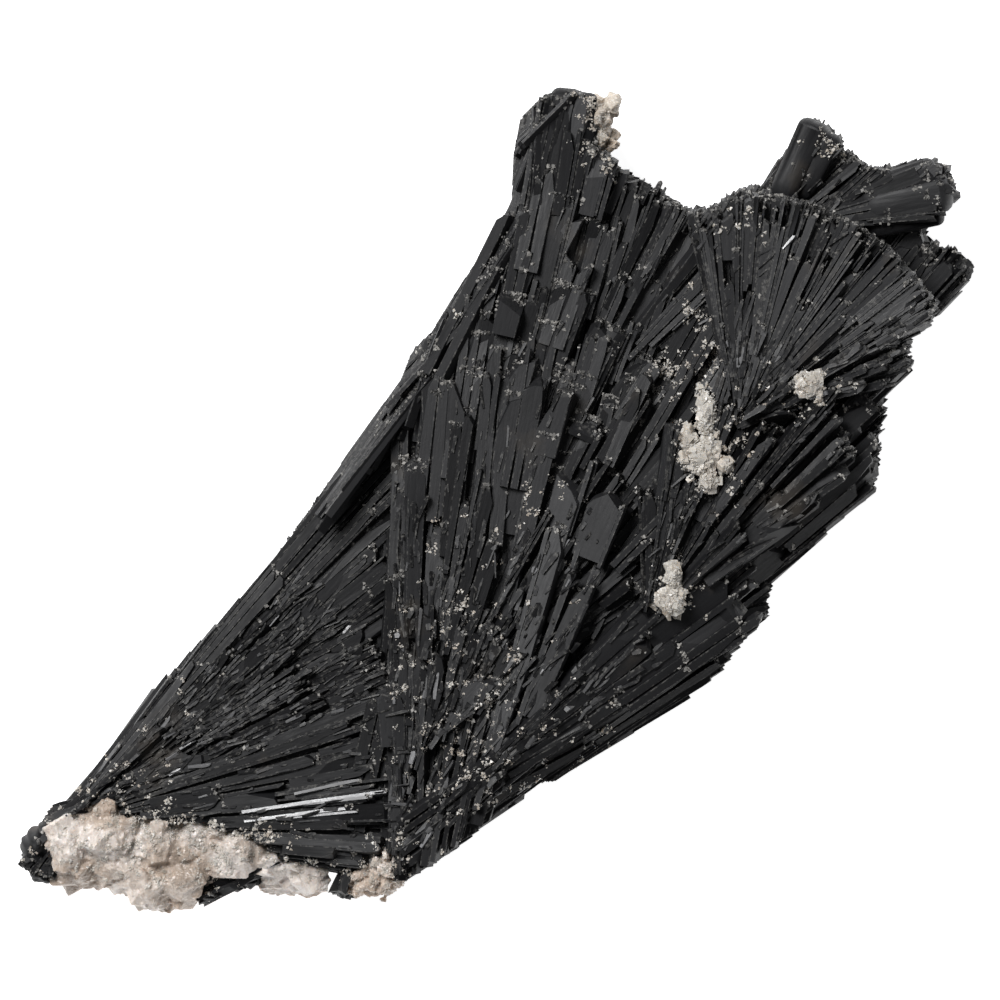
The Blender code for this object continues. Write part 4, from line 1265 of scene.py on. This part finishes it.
# %% Kyanite
def kyanite():
    made, tree, shader = new_material("black_kyanite_satin")
    tone = add(tree, "ShaderNodeAttribute", attribute_name="tone").outputs["Fac"]
    across = add(tree, "ShaderNodeAttribute", attribute_name="across").outputs["Fac"]
    rim = add(tree, "ShaderNodeAttribute", attribute_name="rim").outputs["Fac"]
    from_end = add(tree, "ShaderNodeAttribute", attribute_name="from_end").outputs["Fac"]
    sideways = add(tree, "ShaderNodeMath", {0: across}, operation="ABSOLUTE").outputs[0]
    to_edge = add(tree, "ShaderNodeMath", {0: rim, 1: sideways}, operation="SUBTRACT").outputs[0]
    place = add(tree, "ShaderNodeTexCoord").outputs["Object"]
    in_mm = add(tree, "ShaderNodeVectorMath", {0: place, 1: (1000, 1000, 1000)},
                operation="MULTIPLY").outputs[0]
    slow = add(tree, "ShaderNodeMath", {0: from_end, 1: 0.12}, operation="MULTIPLY").outputs[0]
    own = add(tree, "ShaderNodeMath", {0: tone, 1: 40.0}, operation="MULTIPLY").outputs[0]
    strand = add(tree, "ShaderNodeCombineXYZ", {"X": across, "Y": slow, "Z": own}).outputs[0]
    ridges = add(tree, "ShaderNodeTexNoise",
                 {"Vector": strand, "Scale": 3.5, "Detail": 3.0, "Roughness": 0.6}).outputs["Fac"]
    patches = add(tree, "ShaderNodeTexNoise",
                  {"Vector": in_mm, "Scale": 0.16, "Detail": 4.0}).outputs["Fac"]
    crumbs = add(tree, "ShaderNodeTexNoise",
                 {"Vector": in_mm, "Scale": 2.6, "Detail": 4.0, "Roughness": 0.7}).outputs["Fac"]

    body = add(tree, "ShaderNodeMapRange", {"Value": tone, "To Min": 0.0, "To Max": 0.9}).outputs[0]
    uneven = add(tree, "ShaderNodeMapRange",
                 {"Value": patches, "From Min": 0.35, "From Max": 0.65, "To Min": 0.0,
                  "To Max": 0.2}).outputs[0]
    body = add(tree, "ShaderNodeMath", {0: body, 1: uneven}, operation="ADD").outputs[0]
    base = add(tree, "ShaderNodeMix", {"Factor": body, "A": colour("#08080a"), "B": colour("#262628")},
               data_type="RGBA")
    base = base.outputs["Result"]
    dust = add(tree, "ShaderNodeMapRange",
               {"Value": patches, "From Min": 0.62, "From Max": 0.75, "To Min": 0.0,
                "To Max": 0.35}).outputs[0]
    base = add(tree, "ShaderNodeMix", {"Factor": dust, "A": base, "B": colour("#4a4238")},
               data_type="RGBA").outputs["Result"]

    # Broken ends and rubbed edges are mixed towards light grey in specks: partly wear, partly painted glints
    # of their small facets.
    end_wear_and_glints = add(tree, "ShaderNodeMapRange",
                   {"Value": from_end, "From Min": 0.05, "From Max": 0.7, "To Min": 1.0,
                    "To Max": 0.0}).outputs[0]
    edge_wear_and_glints = add(tree, "ShaderNodeMapRange",
                    {"Value": to_edge, "From Min": 0.02, "From Max": 0.14, "To Min": 0.8,
                     "To Max": 0.0}).outputs[0]
    wear_and_glints = add(tree, "ShaderNodeMath", {0: end_wear_and_glints, 1: edge_wear_and_glints}, operation="MAXIMUM").outputs[0]
    chance = add(tree, "ShaderNodeMapRange",
                 {"Value": crumbs, "From Min": 0.5, "From Max": 0.62, "To Min": 0.0,
                  "To Max": 0.6}).outputs[0]
    wear_and_glints = add(tree, "ShaderNodeMath", {0: wear_and_glints, 1: chance}, operation="MULTIPLY").outputs[0]
    base = add(tree, "ShaderNodeMix", {"Factor": wear_and_glints, "A": base, "B": colour("#7c7a76")},
               data_type="RGBA").outputs["Result"]

    # Tones near 1 are mixed towards light grey: a painted glint on the few faces that catch the light.
    painted_glint = add(tree, "ShaderNodeMapRange",
                 {"Value": tone, "From Min": 0.95, "From Max": 1.0, "To Min": 0.0,
                  "To Max": 0.7}).outputs[0]
    base = add(tree, "ShaderNodeMix", {"Factor": painted_glint, "A": base, "B": colour("#8c8c8e")},
               data_type="RGBA").outputs["Result"]

    rough = add(tree, "ShaderNodeMapRange",
                {"Value": ridges, "From Min": 0.3, "From Max": 0.7, "To Min": 0.5,
                 "To Max": 0.68}).outputs[0]
    polished = add(tree, "ShaderNodeMapRange",
                   {"Value": tone, "From Min": 0.95, "From Max": 1.0, "To Min": 0.0,
                    "To Max": -0.3}).outputs[0]
    rough = add(tree, "ShaderNodeMath", {0: rough, 1: polished}, operation="ADD").outputs[0]
    bump = add(tree, "ShaderNodeBump", {"Height": ridges, "Strength": 0.5, "Distance": 0.00006})
    bump = add(tree, "ShaderNodeBump",
               {"Height": crumbs, "Strength": 0.15, "Distance": 0.0001, "Normal": bump.outputs[0]})
    sheen = add(tree, "ShaderNodeMapRange", {"Value": tone, "To Min": 0.11, "To Max": 0.37}).outputs[0]
    tree.links.new(base, shader.inputs["Base Color"])
    tree.links.new(rough, shader.inputs["Roughness"])
    tree.links.new(sheen, shader.inputs["Specular IOR Level"])
    tree.links.new(bump.outputs[0], shader.inputs["Normal"])
    shader.inputs["IOR"].default_value = 1.72
    return made


kyanite_material = kyanite()
for piece in kyanite_pieces:
    piece.data.materials.append(kyanite_material)

# %% [markdown]
# ### Crushed kyanite
# Where a blade broke, its end is crushed to a rough grey edge, lighter than the cleavage
# faces because light scatters in the cracks. The lightest crumbs are also painted glints of
# their tiny facets.

# %% Crushed kyanite
def crushed_kyanite():
    made, tree, shader = new_material("crushed_kyanite")
    tone = add(tree, "ShaderNodeAttribute", attribute_name="tone").outputs["Fac"]
    base = add(tree, "ShaderNodeMix", {"Factor": tone, "A": colour("#222223"), "B": colour("#a8a5a0")},
               data_type="RGBA")
    tree.links.new(base.outputs["Result"], shader.inputs["Base Color"])
    shader.inputs["IOR"].default_value = 1.72
    shader.inputs["Specular IOR Level"].default_value = 0.3
    shader.inputs["Roughness"].default_value = 0.55
    return made


crumbs.data.materials.append(crushed_kyanite())

# %% [markdown]
# ### Feldspar and quartz
# Feldspar is cream to pinkish beige with brown stains, quartz a greyish white. Both are
# slightly translucent, so some light spreads inside the grains. The colour changes over some
# 3 mm, and the sugary bump has grains of about 0.5 mm.

# %% Pale minerals
def pale_mineral(name, light, warm, stain):
    made, tree, shader = new_material(name)
    tone = add(tree, "ShaderNodeAttribute", attribute_name="tone").outputs["Fac"]
    place = add(tree, "ShaderNodeTexCoord").outputs["Object"]
    in_mm = add(tree, "ShaderNodeVectorMath", {0: place, 1: (1000, 1000, 1000)},
                operation="MULTIPLY").outputs[0]
    patches = add(tree, "ShaderNodeTexNoise", {"Vector": in_mm, "Scale": 0.3, "Detail": 3.0}).outputs["Fac"]
    sugar = add(tree, "ShaderNodeTexNoise", {"Vector": in_mm, "Scale": 2.2, "Detail": 3.0}).outputs["Fac"]
    warmth = add(tree, "ShaderNodeMapRange",
                 {"Value": patches, "From Min": 0.4, "From Max": 0.6, "To Min": -0.3,
                  "To Max": 0.3}).outputs[0]
    tinted = add(tree, "ShaderNodeMath", {0: tone, 1: 1.6}, operation="MULTIPLY").outputs[0]
    warmth = add(tree, "ShaderNodeMath", {0: warmth, 1: tinted}, operation="ADD", use_clamp=True).outputs[0]
    base = add(tree, "ShaderNodeMix", {"Factor": warmth, "A": colour(light), "B": colour(warm)},
               data_type="RGBA").outputs["Result"]
    stained = add(tree, "ShaderNodeMapRange",
                  {"Value": tone, "From Min": 0.42, "From Max": 0.85, "To Max": 0.85}).outputs[0]
    base = add(tree, "ShaderNodeMix", {"Factor": stained, "A": base, "B": colour(stain)},
               data_type="RGBA").outputs["Result"]
    bump = add(tree, "ShaderNodeBump", {"Height": sugar, "Strength": 0.4, "Distance": 0.0002})
    tree.links.new(base, shader.inputs["Base Color"])
    tree.links.new(bump.outputs[0], shader.inputs["Normal"])
    shader.inputs["IOR"].default_value = 1.54
    shader.inputs["Subsurface Weight"].default_value = 0.25
    shader.inputs["Subsurface Radius"].default_value = (1.0, 0.8, 0.6)
    shader.inputs["Subsurface Scale"].default_value = 0.0008
    shader.inputs["Roughness"].default_value = 0.35
    return made


feldspar = pale_mineral("cleaved_feldspar", "#dcd4ce", "#c1b1a3", "#8b7b6e")
quartz = pale_mineral("sugary_quartz", "#cbc5bc", "#b5a798", "#7d7466")
quartz_grit.data.materials.append(quartz)
for name, piece in pale_pieces.items():
    piece.data.materials.append(feldspar if name in ("matrix_band", "heel_lump") else quartz)

# %% [markdown]
# ## Floor, light and camera
# The specimen lies on a plain pale surface and is seen from straight above, with the light
# from the upper left of the picture. A long lens far away keeps the view flat.

# %% Stage
FLOOR_SIDE = 3.0
floor_bm = bmesh.new()
bmesh.ops.create_grid(floor_bm, x_segments=1, y_segments=1, size=FLOOR_SIDE / 2)
floor_mesh = bpy.data.meshes.new("floor")
floor_bm.to_mesh(floor_mesh)
floor_bm.free()
floor = bpy.data.objects.new("floor", floor_mesh)
bpy.context.scene.collection.objects.link(floor)
floor_material, _, floor_shader = new_material("white_card")
floor_shader.inputs["Base Color"].default_value = colour("#f6f6f6")
floor_shader.inputs["Roughness"].default_value = 0.9
floor_shader.inputs["Specular IOR Level"].default_value = 0.1
floor_shader.inputs["Emission Color"].default_value = colour("#ffffff")
floor_shader.inputs["Emission Strength"].default_value = 0.9
floor.data.materials.append(floor_material)

world = bpy.data.worlds.new("studio")
world.use_nodes = True
sky = world.node_tree
upward = add(sky, "ShaderNodeSeparateXYZ",
             {0: add(sky, "ShaderNodeTexCoord").outputs["Generated"]}).outputs["Z"]
glow = add(sky, "ShaderNodeMapRange",
           {"Value": upward, "From Min": 0.0, "From Max": 0.6, "To Min": 0.45, "To Max": 0.1}).outputs[0]
sky.links.new(glow, sky.nodes["Background"].inputs["Strength"])
sky.nodes["Background"].inputs["Color"].default_value = colour("#f4f6f8")
bpy.context.scene.world = world


def soft_light(name, sheet_from, height, side, power):
    """A square soft light that looks at the specimen. sheet_from is where it stands on the sheet, in mm."""
    data = bpy.data.lights.new(name, "AREA")
    data.shape = "SQUARE"
    data.size = side
    data.energy = power
    made = bpy.data.objects.new(name, data)
    made.location = on_sheet([(*sheet_from, height)])[0]
    aim = Vector((0, 0, 0.01)) - made.location
    made.rotation_euler = aim.to_track_quat("-Z", "Y").to_euler()
    bpy.context.scene.collection.objects.link(made)
    return made


soft_light("window_light", (-440, 470), 900, 0.4, 14)
soft_light("fill_light", (600, -300), 500, 0.6, 0.6)

VIEW_CENTRE = on_sheet([(0.0, 0.0, 12.0)])[0]
CAMERA_AWAY = 1.2
FRAME_WIDTH = 0.0875
camera_data = bpy.data.cameras.new("camera")
camera_data.sensor_width = 36.0
camera_data.lens = camera_data.sensor_width * CAMERA_AWAY / FRAME_WIDTH
camera_data.clip_end = 20.0
camera = bpy.data.objects.new("camera", camera_data)
camera.location = (VIEW_CENTRE[0], VIEW_CENTRE[1], VIEW_CENTRE[2] + CAMERA_AWAY)
camera.rotation_euler = (0.0, 0.0, math.radians(SHEET_TURN_DEG))
bpy.context.scene.collection.objects.link(camera)
bpy.context.scene.camera = camera
bpy.context.scene.view_settings.view_transform = "Standard"

# %% [markdown]
# ## Onto the body
# Every piece rides on the one body, and the imported nodes it stands for are hidden.

# %% Ride and replace
for piece in kyanite_pieces:
    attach(piece, "root")
    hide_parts("kyanite_fans")
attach(crumbs, "root")
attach(quartz_grit, "root")
for name, piece in pale_pieces.items():
    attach(piece, "root")
    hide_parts(PALE_NODES[name])
